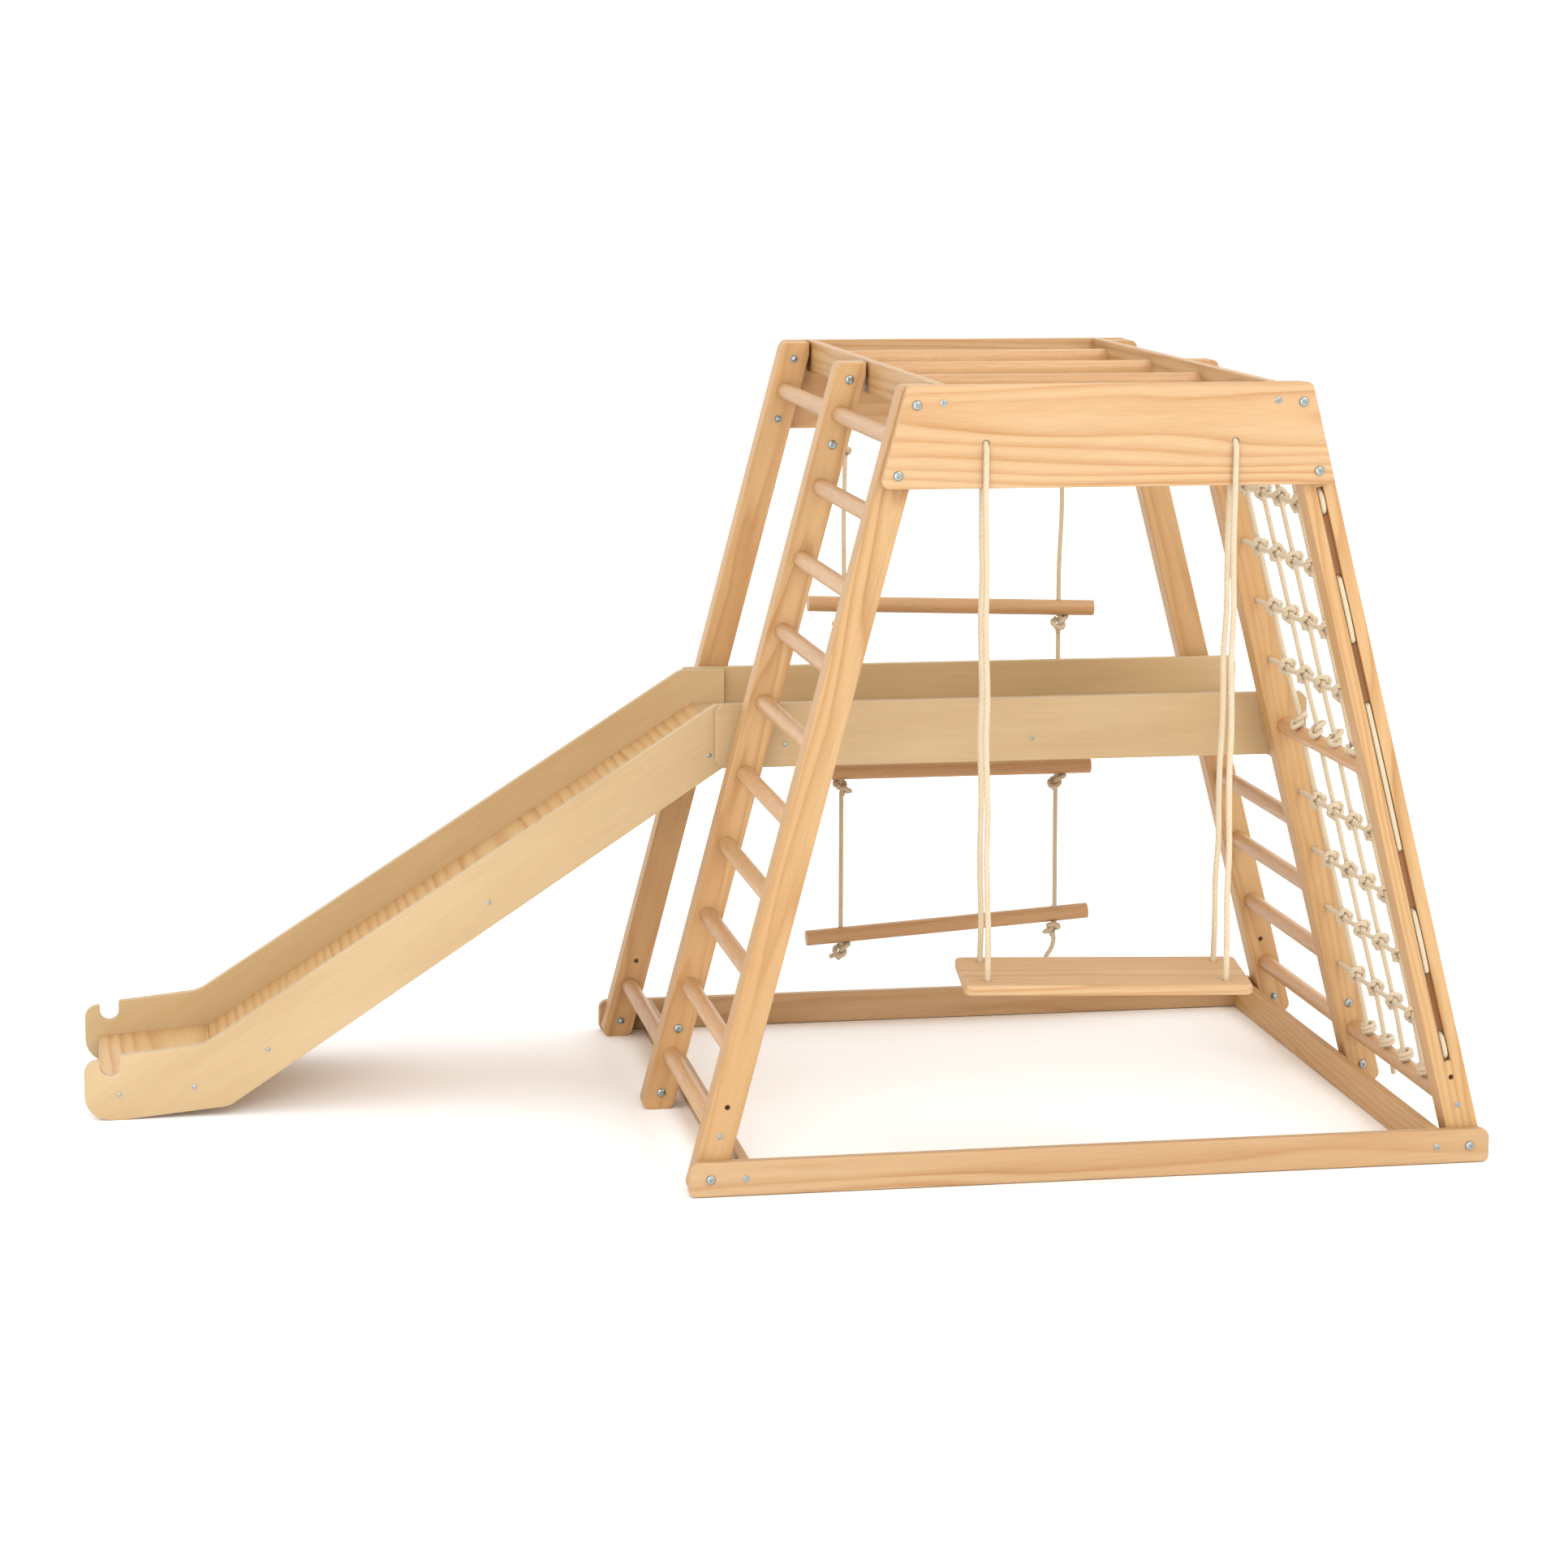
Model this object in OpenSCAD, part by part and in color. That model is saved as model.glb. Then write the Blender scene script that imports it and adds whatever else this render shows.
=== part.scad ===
// Wooden indoor climbing tower for toddlers: two leaning climbing panels joined by beams and
// rails, with a platform and a slide, a swing, a rope ladder, a rope net and monkey bars.
// Millimetres. +Z is up, +X runs from the foot of the slide to the rope net,
// and +Y runs from the swing side to the rope ladder side. The origin is on the floor,
// in the middle of the footprint.

/* [Frame] */
// Height of the tower
tower_h = 1320; // [1280:5:1340]
// Distance from one row of legs to the next, along Y
bay_pitch = 540; // [530:5:560]
// Half the spread of the leg centrelines at the floor
leg_foot_x = 657; // [645:1:670]
// How far a leg leans in for each millimetre of height
leg_slope = 0.262; // [0.25:0.002:0.27]
// Width of a leg, across its face
leg_w = 55; // [50:1:60]
// Thickness of a leg, along Y
leg_t = 45; // [40:1:48]
// Thickness of the beams, rails and top plates
lumber_t = 18; // [16:1:20]
// Height of the rails and top plates
lumber_h = 58; // [50:1:60]
// Height of the front and back beams
beam_h = 166; // [150:1:170]
// Half the length of the bottom rails
rail_half = 684; // [680:1:695]

/* [Rungs] */
// Diameter of the climbing rungs, monkey bars and ladder rungs
rung_d = 30; // [24:1:32]
// Height of the lowest rung
rung_low_z = 98; // [90:1:105]
// Step from one rung to the next
rung_pitch = 125.5; // [124:0.5:126]
// Depth of the blind holes that hold the rungs
socket_depth = 18; // [12:1:20]
// Distance between neighbouring monkey bars
bar_pitch = 310; // [280:5:320]

/* [Slide and platform] */
// Thickness of the plywood boards
ply_t = 15; // [12:1:15]
// Width of the slide over its side boards
slide_w = 430; // [400:5:430]
// Distance from the tower's middle to the tip of the slide's foot
slide_reach = 1655; // [1655:1:1660]
// Height of the platform's side boards
platform_board_h = 114; // [110:1:118]
// Half the length of the platform's side boards
platform_half = 543; // [540:1:550]
// Thickness of the platform deck and the slide beds
deck_t = 15; // [12:1:15]

/* [Swing] */
// Length of the swing seat
seat_l = 470; // [440:5:480]
// Depth of the swing seat, front to back
seat_w = 210; // [190:5:220]
// Height of the seat's top above the floor
seat_top_z = 355; // [330:5:380]
// How far the hanging seat is turned about the vertical, in degrees
seat_twist = 8; // [0:0.5:9]
// Diameter of the swing ropes
swing_rope_d = 10; // [8:1:10]

/* [Ropes] */
// Diameter of the rope ladder's ropes
ladder_rope_d = 9; // [7:1:9]
// Length of a ladder rung
ladder_rung_l = 560; // [520:5:580]
// Diameter of the net's ropes
net_rope_d = 9; // [7:1:9]
// Height step between the net's ropes
net_pitch = 107; // [100:1:110]

/* [Hidden] */
$fn = 48;
clear = 0.1;
end_gap = 0.3;

// Placing: the drawing's X = 0 is the middle of the tower, and its Y = 0 is the front legs' face.
leg_y = [0, bay_pitch, 2 * bay_pitch];
depth = 2 * bay_pitch + leg_t;
footprint_shift = [(slide_reach - rail_half) / 2, -505, 0];

function leg_x(z) = leg_foot_x - leg_slope * z;
function rung_z(k) = rung_low_z + k * rung_pitch;

leg_half = leg_w / 2 * sqrt(1 + leg_slope * leg_slope);
leg_top_z = tower_h - 2;
leg_corner_r = 13;
top_plate_x = 276.4;
plate_face_x = top_plate_x + lumber_t / 2;
leg_cut_x = plate_face_x + 4;
leg_cut_z = (leg_foot_x - leg_half - leg_cut_x) / leg_slope;
top_plate_z = tower_h - lumber_h;
beam_low_z = tower_h - beam_h;
beam_end_inset = 5;
cross_rail_x = 591;
rail_low_z = 1;

support_k = 4;
top_k = 9;
support_z = rung_z(support_k);
mid_rung_z = (rung_z(0) + rung_z(top_k)) / 2;
left_front_z = [for (k = [0:top_k]) rung_z(k)];
left_back_z = [rung_z(0), support_z, rung_z(top_k)];
right_front_z = [rung_z(0), mid_rung_z, rung_z(top_k)];
right_back_z = [for (k = [0:support_k]) rung_z(k), rung_z(top_k)];
bar_z = tower_h - lumber_h / 2;
bar_socket = 10;

// Fasteners: leg bolts pass through a leg and the board on its face.
bolt_d = 8;
bolt_hole_d = 9;
bolt_head_d = 16;
bolt_head_h = 4;
nut_d = 14;
nut_h = 7;
bolt_tip = 4;
bolt_z = [30, 1176, 1288];
accessory_z = 146;
screw_d = 4;
screw_head_h = 1.5;
screw_bite = 25;

// Net: rows start above and below the middle rung, and a groove carries them down the leg.
net_first = 121;
net_row_z = [
    for (i = [3:-1:0]) mid_rung_z + net_first + i * net_pitch,
    for (i = [0:3]) mid_rung_z - net_first - i * net_pitch
];
net_top_z = 1142;
net_end_z = 180;
net_hole_d = net_rope_d + 1;
net_knot_r = 12;
net_tail_l = 18;
groove_w = net_rope_d + 2;
groove_depth = net_rope_d + 1;
net_bore_depth = 20;
net_column_y = [for (i = [1:4]) leg_t + (bay_pitch - leg_t) * i / 5];
net_tail_column = 2;

// Slide, drawn from the side: X along the slide, Z up.
slide_top_z = support_z + platform_board_h - 2;
slide_end_x = -457;
slide_kink_x = 2 - platform_half;
slide_rise = 0.643;
runout_x = -1446;
runout_z = slide_top_z + slide_rise * (runout_x - slide_kink_x);
hook_w = 34;
hook_x = -1610;
hook_low_z = 80;
hook_lip_z = 108;
wall_h = 76;
seam_x = -1430;
bed_end_x = -520;
bed_foot_x = -1630;
runout_bed_rise = 0.07;
slide_screw_x = [-1596, -1465, -1336, -945, -552];
deck_top_z = support_z + 48;
platform_screw_x = [-418, 32, 482];
bay_mid_y = (leg_y[1] + leg_t + leg_y[2]) / 2;
slide_y = [bay_mid_y - slide_w / 2, bay_mid_y + slide_w / 2 - ply_t];
platform_y = [slide_y[0] - ply_t, slide_y[1] + ply_t];
channel_w = slide_w - 2 * ply_t;

function bed_top(x) = slide_top_z + slide_rise * (x - slide_kink_x) - wall_h;
function runout_top(x) = bed_top(seam_x) + runout_bed_rise * (x - seam_x);
function bed_mid(x) = (x > seam_x ? bed_top(x) : runout_top(x)) - deck_t / 2;

// Swing: its ropes bend at the lower edge of the front beam.
beam_mid_y = -lumber_t / 2;
swing_hole_x = 206.5;
rope_hole_z = 1226;
swing_gap = 14;
seat_hole_x = 195;
seat_hole_y = 70;
seat_shift = 4;
seat_r = 14;
seat_groove_depth = swing_rope_d - 0.5;
strand_y = lumber_t / 2 + swing_rope_d / 2 + end_gap;

function seat_point(x, y, z) = [
    seat_shift + x * cos(seat_twist) + y * sin(seat_twist),
    beam_mid_y - x * sin(seat_twist) + y * cos(seat_twist),
    z
];

// Rope ladder: it hangs from the back beam, and each rung rests on a knot.
back_beam_y = depth + lumber_t / 2;
ladder_rope_x = 212;
ladder_rung_z = [810, 492, 185];
ladder_tilt = [1.9, 0, -3.8];
ladder_knot_r = 11;
ladder_top_knot_z = 1112;
ladder_strand_y = lumber_t / 2 + ladder_rope_d / 2 + end_gap;
ladder_gap = 20;
stub_run = [-22, 0, -16];
// Route of the loose tail, from the lowest right knot down towards the floor
tail_route = [
    [212, 0, 164], [213, 0, 156], [214, 1, 148], [213, 2, 140], [211, 3, 132], [207, 3, 124],
    [202, 3, 117], [198, 2, 109], [196, 1, 101], [196, 0, 92], [199, 0, 84], [202, 0, 79]
];

function ladder_z(i, side) = ladder_rung_z[i] - side * ladder_rope_x * tan(ladder_tilt[i]);
function ladder_knot_z(i, side) = ladder_z(i, side) - rung_d / 2 - ladder_knot_r;

pine = [0.87, 0.72, 0.50];
pine_dark = [0.83, 0.66, 0.43];
beech = [0.84, 0.66, 0.48];
ply = [0.89, 0.77, 0.57];
rope_colour = [0.90, 0.84, 0.70];
zinc = [0.72, 0.74, 0.74];

RUNGS = [
    ["left_front_rung_", -1, 0, left_front_z],
    ["left_back_rung_", -1, 1, left_back_z],
    ["right_front_rung_", 1, 0, right_front_z],
    ["right_back_rung_", 1, 1, right_back_z]
];
SIDES = [["left", -1], ["right", 1]];
ROWS = ["front", "middle", "back"];

// ---- Outlines -------------------------------------------------------------------------------

function unit(v) = v / norm(v);

// Points of the arc that rounds the corner p between its neighbours a and b
function corner_arc(a, p, b, r, steps) =
    let (
        u = unit(a - p),
        v = unit(b - p),
        half = acos(u * v) / 2,
        centre = p + unit(u + v) * r / sin(half),
        from = p + u * r / tan(half) - centre,
        to = p + v * r / tan(half) - centre,
        a0 = atan2(from[1], from[0]),
        turn = atan2(from[0] * to[1] - from[1] * to[0], from * to)
    )
    [for (i = [0:steps]) centre + r * [cos(a0 + turn * i / steps), sin(a0 + turn * i / steps)]];

// An outline with each corner rounded; each corner is [x, z, radius]
function rounded(corners, steps = 6) =
    let (n = len(corners))
    [for (i = [0:n - 1])
        let (
            a = corners[(i + n - 1) % n],
            p = corners[i],
            b = corners[(i + 1) % n]
        )
        each p[2] > 0
            ? corner_arc([a[0], a[1]], [p[0], p[1]], [b[0], b[1]], p[2], steps)
            : [[p[0], p[1]]]];

// A board standing in the XZ plane, from its front face at y
module board_xz(corners, y, t) {
    translate([0, y + t, 0])
        rotate([90, 0, 0])
            linear_extrude(t)
                polygon(rounded(corners));
}

// A round bar or hole along Y, from y0 to y1
module along_y(x, z, d, y0, y1) {
    translate([x, y0, z])
        rotate([-90, 0, 0])
            cylinder(d = d, h = y1 - y0);
}

module rung_sockets(side, heights, y0, y1) {
    for (z = heights)
        along_y(side * leg_x(z), z, rung_d + 2 * clear, y0, y1);
}

module bolt_holes(side, heights, y) {
    for (z = heights)
        along_y(side * leg_x(z), z, bolt_hole_d, y - 1, y + leg_t + 1);
}

// ---- Legs -----------------------------------------------------------------------------------

module leg_blank(side, y) {
    outline = [
        [leg_x(0) - leg_half, 0, leg_corner_r],
        [leg_x(0) + leg_half, 0, leg_corner_r],
        [leg_x(leg_top_z) + leg_half, leg_top_z, leg_corner_r],
        [leg_cut_x, leg_top_z, 2],
        [leg_cut_x, leg_cut_z, 0]
    ];
    mirror([side < 0 ? 1 : 0, 0, 0])
        board_xz(outline, y, leg_t);
}

module front_leg(side) {
    heights = side < 0 ? left_front_z : right_front_z;
    color(pine) difference() {
        leg_blank(side, leg_y[0]);
        rung_sockets(side, heights, leg_t - socket_depth, leg_t + 1);
        bolt_holes(side, concat(bolt_z, accessory_z), leg_y[0]);
        along_y(side * leg_x(rung_low_z), rung_low_z, screw_d + clear, -1, leg_t);
        if (side > 0) {
            for (z = net_row_z)
                along_y(leg_x(z), z, net_hole_d, -1, leg_t + 1);
            net_groove();
        }
    }
}

// Groove down the outer face of the right front leg, where the net's rows are laced
module net_groove() {
    groove_l = (net_top_z - net_end_z) * sqrt(1 + leg_slope * leg_slope) + groove_w;
    mid_z = (net_top_z + net_end_z) / 2;
    translate([leg_x(mid_z), groove_depth / 2 - 1, mid_z])
        rotate([0, -atan(leg_slope), 0])
            cube([groove_w, groove_depth + 2, groove_l], center = true);
}

module middle_leg(side) {
    front_z = side < 0 ? left_front_z : right_front_z;
    back_z = side < 0 ? left_back_z : right_back_z;
    y = leg_y[1];
    color(pine_dark) difference() {
        leg_blank(side, y);
        rung_sockets(side, front_z, y - 1, y + socket_depth);
        rung_sockets(side, back_z, y + leg_t - socket_depth, y + leg_t + 1);
        bolt_holes(side, concat(bolt_z, accessory_z), y);
        if (side > 0)
            for (z = net_row_z)
                along_y(leg_x(z), z, net_hole_d, y - 1, y + net_bore_depth);
    }
}

module back_leg(side) {
    heights = side < 0 ? left_back_z : right_back_z;
    y = leg_y[2];
    color(pine_dark) difference() {
        leg_blank(side, y);
        rung_sockets(side, heights, y - 1, y + socket_depth);
        bolt_holes(side, concat(bolt_z, accessory_z), y);
        along_y(side * leg_x(rung_low_z), rung_low_z, screw_d + clear, y, y + leg_t + 1);
    }
}

// ---- Beams, rails and bars ------------------------------------------------------------------

module beam(y) {
    top_x = leg_x(tower_h) + leg_half - beam_end_inset;
    low_x = leg_x(beam_low_z) + leg_half - beam_end_inset;
    corners = [
        [-low_x, beam_low_z, 12],
        [low_x, beam_low_z, 12],
        [top_x, tower_h, 12],
        [-top_x, tower_h, 12]
    ];
    color(pine) difference() {
        board_xz(corners, y, lumber_t);
        for (side = [-1, 1]) {
            for (z = [bolt_z[1], bolt_z[2]])
                along_y(side * leg_x(z), z, bolt_hole_d, y - 1, y + lumber_t + 1);
            along_y(side * top_plate_x, bar_z, screw_d + clear, y - 1, y + lumber_t + 1);
            along_y(side * (y < 0 ? swing_hole_x : ladder_rope_x), rope_hole_z,
                swing_rope_d + 2, y - 1, y + lumber_t + 1);
        }
    }
}

module rail(y) {
    top_z = rail_low_z + lumber_h;
    corners = [
        [-rail_half, rail_low_z, 10],
        [rail_half, rail_low_z, 10],
        [rail_half, top_z, 16],
        [-rail_half, top_z, 16]
    ];
    color(pine) difference() {
        board_xz(corners, y, lumber_t);
        for (side = [-1, 1]) {
            along_y(side * leg_x(bolt_z[0]), bolt_z[0], bolt_hole_d, y - 1, y + lumber_t + 1);
            along_y(side * cross_rail_x, bolt_z[0], screw_d + clear, y - 1, y + lumber_t + 1);
        }
    }
}

module cross_rail(side) {
    color(pine_dark) difference() {
        translate([side * cross_rail_x - lumber_t / 2, 0, rail_low_z])
            cube([lumber_t, depth, lumber_h]);
        end_pilots(side * cross_rail_x, bolt_z[0]);
    }
}

module top_plate(side) {
    inner_x = top_plate_x - lumber_t / 2;
    color(pine) difference() {
        translate([side * top_plate_x - lumber_t / 2, 0, top_plate_z])
            cube([lumber_t, depth, lumber_h]);
        end_pilots(side * top_plate_x, bar_z);
        for (i = [0:3])
            translate([side > 0 ? inner_x - 1 : -inner_x - bar_socket, bar_y(i), bar_z])
                rotate([0, 90, 0])
                    cylinder(d = rung_d + 2 * clear, h = bar_socket + 1);
    }
}

// Pilot holes in both ends of a board that runs from front to back
module end_pilots(x, z) {
    along_y(x, z, screw_d + clear, -1, screw_bite + clear);
    along_y(x, z, screw_d + clear, depth - screw_bite - clear, depth + 1);
}

function bar_y(i) = depth / 2 + (i - 1.5) * bar_pitch;

module monkey_bar(i) {
    half = top_plate_x - lumber_t / 2 + bar_socket - clear;
    color(beech)
        translate([-half, bar_y(i), bar_z])
            rotate([0, 90, 0])
                cylinder(d = rung_d, h = 2 * half);
}

// A climbing rung between two rows of legs; bay 0 is at the front and bay 1 at the back
module rung(side, bay, z) {
    y0 = leg_y[bay] + leg_t - socket_depth + clear;
    y1 = leg_y[bay + 1] + socket_depth - clear;
    outer = z == rung_low_z;
    color(beech) difference() {
        along_y(side * leg_x(z), z, rung_d, y0, y1);
        if (outer && bay == 0)
            along_y(side * leg_x(z), z, screw_d + clear, y0 - 1, leg_t + clear);
        if (outer && bay == 1)
            along_y(side * leg_x(z), z, screw_d + clear, leg_y[2] - clear, y1 + 1);
        if (side > 0 && bay == 0)
            net_holes(z);
    }
}

// Holes along the lean of the legs, where the net's uprights pass through the rung at height z
module net_holes(z) {
    for (y = net_column_y)
        translate(net_point(y, z))
            rotate([0, -atan(leg_slope), 0])
                cylinder(d = net_hole_d, h = 2 * rung_d, center = true);
}

// ---- Platform and slide ---------------------------------------------------------------------

module rung_notch(y) {
    for (side = [-1, 1])
        along_y(side * leg_x(support_z), support_z, rung_d + 2 * clear, y - 1, y + ply_t + 1);
}

module platform_board(y) {
    top_z = support_z + platform_board_h;
    c = 12;
    corners = [
        [-platform_half + c, support_z, 2],
        [platform_half - c, support_z, 2],
        [platform_half, support_z + c, 2],
        [platform_half, top_z - c, 2],
        [platform_half - c, top_z, 2],
        [-platform_half + c, top_z, 2],
        [-platform_half, top_z - c, 2],
        [-platform_half, support_z + c, 2]
    ];
    color(ply) difference() {
        board_xz(corners, y, ply_t);
        rung_notch(y);
        for (x = platform_screw_x)
            along_y(x, deck_top_z - deck_t / 2, screw_d + clear, y - 1, y + ply_t + 1);
    }
}

module platform_deck() {
    low_z = deck_top_z - deck_t;
    tongue_l = slide_end_x - bed_end_x;
    color(ply) difference() {
        union() {
            translate([slide_end_x + end_gap, slide_y[0], low_z])
                cube([platform_half - 4 - slide_end_x, slide_w, deck_t]);
            translate([bed_end_x + end_gap, slide_y[0] + ply_t + end_gap, low_z])
                cube([tongue_l + 1, channel_w - 2 * end_gap, deck_t]);
        }
        for (x = platform_screw_x)
            edge_pilots(x, deck_top_z - deck_t / 2, slide_y[0], slide_y[0] + slide_w);
    }
}

// Pilot holes in the two long edges of a deck or a bed
module edge_pilots(x, z, y0, y1) {
    along_y(x, z, screw_d + clear, y0 - 1, y0 + screw_bite + clear);
    along_y(x, z, screw_d + clear, y1 - screw_bite - clear, y1 + 1);
}

module slide_side(y) {
    corners = [
        [-slide_reach, 0, 44],
        [-1588, 0, 40],
        [-1405, 17, 40],
        [-524, support_z, 12],
        [slide_end_x, support_z, 3],
        [slide_end_x, slide_top_z, 3],
        [slide_kink_x, slide_top_z, 25],
        [runout_x, runout_z, 60],
        [hook_x + hook_w / 2, runout_z - 15, 4],
        [hook_x + hook_w / 2, hook_low_z, hook_w / 2 - 0.5],
        [hook_x - hook_w / 2, hook_low_z, hook_w / 2 - 0.5],
        [hook_x - hook_w / 2, hook_lip_z, 3],
        [-slide_reach, hook_lip_z, 24]
    ];
    color(ply) difference() {
        board_xz(corners, y, ply_t);
        rung_notch(y);
        for (x = slide_screw_x)
            along_y(x, bed_mid(x), screw_d + clear, y - 1, y + ply_t + 1);
    }
}

module bed(corners, screws) {
    y0 = slide_y[0] + ply_t;
    color(pine) difference() {
        board_xz(corners, y0, channel_w);
        for (x = screws)
            edge_pilots(x, bed_mid(x), y0, y0 + channel_w);
    }
}

module slide_bed() {
    bed([
        [seam_x, bed_top(seam_x) - deck_t, 0],
        [bed_end_x, bed_top(bed_end_x) - deck_t, 0],
        [bed_end_x, bed_top(bed_end_x), 0],
        [seam_x, bed_top(seam_x), 0]
    ], [for (x = slide_screw_x) if (x > seam_x) x]);
}

module slide_runout_bed() {
    x1 = seam_x - end_gap;
    bed([
        [bed_foot_x, runout_top(bed_foot_x) - deck_t, 3],
        [x1, runout_top(x1) - deck_t, 0],
        [x1, runout_top(x1), 0],
        [bed_foot_x, runout_top(bed_foot_x), 3]
    ], [for (x = slide_screw_x) if (x < seam_x) x]);
}

// ---- Ropes ----------------------------------------------------------------------------------

// A straight stretch of rope from a to b
module stretch(a, b, d) {
    run = b - a;
    translate(a)
        rotate([0, acos(run[2] / norm(run)), atan2(run[1], run[0])])
            cylinder(d = d, h = norm(run), $fn = 24);
}

module knot(p, r) {
    translate(p)
        sphere(r, $fn = 24);
}

// A bend between two stretches: a ball a little fatter than the rope
module bend(p, d) {
    knot(p, d / 2 + 0.6);
}

// A rope that follows a route, swept as one closed tube with eight sides
module swept(route, r) {
    sides = 8;
    n = len(route);
    function heading(i) = unit(route[min(i + 1, n - 1)] - route[max(i - 1, 0)]);
    points = [for (i = [0:n - 1])
        let (
            t = heading(i),
            u = unit(cross([0, 1, 0], t)),
            v = cross(t, u)
        )
        for (s = [0:sides - 1]) route[i] + r * (cos(s * 360 / sides) * u + sin(s * 360 / sides) * v)];
    skin = [for (i = [0:n - 2], s = [0:sides - 1])
        [i * sides + s, i * sides + (s + 1) % sides, (i + 1) * sides + (s + 1) % sides, (i + 1) * sides + s]];
    caps = [
        [for (s = [sides - 1:-1:0]) s],
        [for (s = [0:sides - 1]) (n - 1) * sides + s]
    ];
    polyhedron(points, [for (f = concat(skin, caps)) [for (k = [len(f) - 1:-1:0]) f[k]]]);
}

// A rope loop through a beam: in at the front, out at the back, and down both faces
module beam_loop(x, y, offset, d) {
    front = [x, y - offset, rope_hole_z];
    back = [x, y + offset, rope_hole_z];
    stretch(front, back, d);
    for (p = [front, back]) {
        bend(p, d);
        stretch([x, p[1], beam_low_z], p, d);
    }
}

module beam_loops() {
    color(rope_colour)
        for (side = [-1, 1]) {
            beam_loop(side * swing_hole_x, beam_mid_y, strand_y, swing_rope_d);
            beam_loop(side * ladder_rope_x, back_beam_y, ladder_strand_y, ladder_rope_d);
        }
}

module swing_seat() {
    x = seat_l / 2;
    y = seat_w / 2;
    corners = [[-x, -y, seat_r], [x, -y, seat_r], [x, y, seat_r], [-x, y, seat_r]];
    color(pine)
        translate([seat_shift, beam_mid_y, seat_top_z - lumber_t])
            rotate([0, 0, -seat_twist])
                difference() {
                    linear_extrude(lumber_t)
                        polygon(rounded(corners));
                    for (hx = [-seat_hole_x, seat_hole_x]) {
                        for (hy = [-seat_hole_y, seat_hole_y])
                            translate([hx, hy, -1])
                                cylinder(d = swing_rope_d + 3, h = lumber_t + 2);
                        translate([hx - swing_rope_d / 2 - 1, -seat_hole_y, -1])
                            cube([swing_rope_d + 2, 2 * seat_hole_y, seat_groove_depth + 1]);
                    }
                }
}

// Each swing rope runs down through the front of the seat, along a groove under it, and up again
module swing_ropes() {
    groove_z = seat_top_z - lumber_t + seat_groove_depth - swing_rope_d / 2 - 0.8;
    color(rope_colour)
        for (side = [-1, 1]) {
            for (face = [-1, 1]) {
                top = [side * swing_hole_x, beam_mid_y + face * strand_y, beam_low_z - swing_gap];
                mouth = seat_point(side * seat_hole_x, face * seat_hole_y, seat_top_z + 12);
                foot = seat_point(side * seat_hole_x, face * seat_hole_y, groove_z);
                stretch(mouth, top, swing_rope_d);
                bend(mouth, swing_rope_d);
                stretch(foot, mouth, swing_rope_d);
                bend(foot, swing_rope_d);
            }
            stretch(seat_point(side * seat_hole_x, -seat_hole_y, groove_z),
                seat_point(side * seat_hole_x, seat_hole_y, groove_z), swing_rope_d);
        }
}

module ladder_rung(i) {
    color(beech)
        translate([0, back_beam_y, ladder_rung_z[i]])
            rotate([0, ladder_tilt[i], 0])
                difference() {
                    rotate([0, 90, 0])
                        cylinder(d = rung_d, h = ladder_rung_l, center = true);
                    for (side = [-1, 1])
                        translate([side * ladder_rope_x, 0, 0])
                            rotate([0, -ladder_tilt[i], 0])
                                cylinder(d = ladder_rope_d + 2, h = 2 * rung_d, center = true);
                }
}

// The rope between the knot above rung i and the knot under it
module ladder_drop(i, side, top_z) {
    x = side * ladder_rope_x;
    low = [x, back_beam_y, ladder_knot_z(i, side)];
    stretch(low, [x, back_beam_y, top_z], ladder_rope_d);
    knot(low, ladder_knot_r);
}

module ladder_ropes_upper() {
    color(rope_colour)
        for (side = [-1, 1]) {
            x = side * ladder_rope_x;
            top_knot = [x, back_beam_y, ladder_top_knot_z];
            for (face = [-1, 1])
                stretch(top_knot, [x, back_beam_y + face * ladder_strand_y, beam_low_z - swing_gap],
                    ladder_rope_d);
            knot(top_knot, ladder_knot_r);
            ladder_drop(0, side, ladder_top_knot_z);
        }
}

module ladder_ropes_middle() {
    color(rope_colour)
        for (side = [-1, 1])
            ladder_drop(1, side, ladder_knot_z(0, side) - ladder_gap);
}

module ladder_ropes_lower() {
    stub_top = [-ladder_rope_x, back_beam_y, ladder_knot_z(2, -1)];
    color(rope_colour) {
        for (side = [-1, 1])
            ladder_drop(2, side, ladder_knot_z(1, side) - ladder_gap);
        stretch(stub_top, stub_top + stub_run, ladder_rope_d);
    }
}

module ladder_tail() {
    color(rope_colour)
        translate([0, back_beam_y, 0])
            swept(tail_route, ladder_rope_d / 2);
}

// ---- Net ------------------------------------------------------------------------------------

function net_point(y, z) = [leg_x(z), y, z];

module rope_net() {
    laced_y = groove_depth - net_rope_d / 2 - 0.7;
    end_y = leg_y[1] + net_bore_depth - 1;
    lacing = [
        [net_top_z, net_row_z[0]], [net_row_z[1], net_row_z[2]], [net_row_z[3], net_row_z[4]],
        [net_row_z[5], net_row_z[6]], [net_row_z[7], net_end_z]
    ];
    color(rope_colour) {
        for (z = net_row_z) {
            stretch(net_point(laced_y, z), net_point(end_y, z), net_rope_d);
            for (y = net_column_y)
                knot(net_point(y, z), net_knot_r);
        }
        for (pair = lacing) {
            stretch(net_point(laced_y, pair[1]), net_point(laced_y, pair[0]), net_rope_d);
            for (z = pair)
                bend(net_point(laced_y, z), net_rope_d);
        }
        for (i = [0:3])
            net_column(net_column_y[i], i == net_tail_column ? net_tail_l : -rung_d / 2);
    }
}

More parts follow.
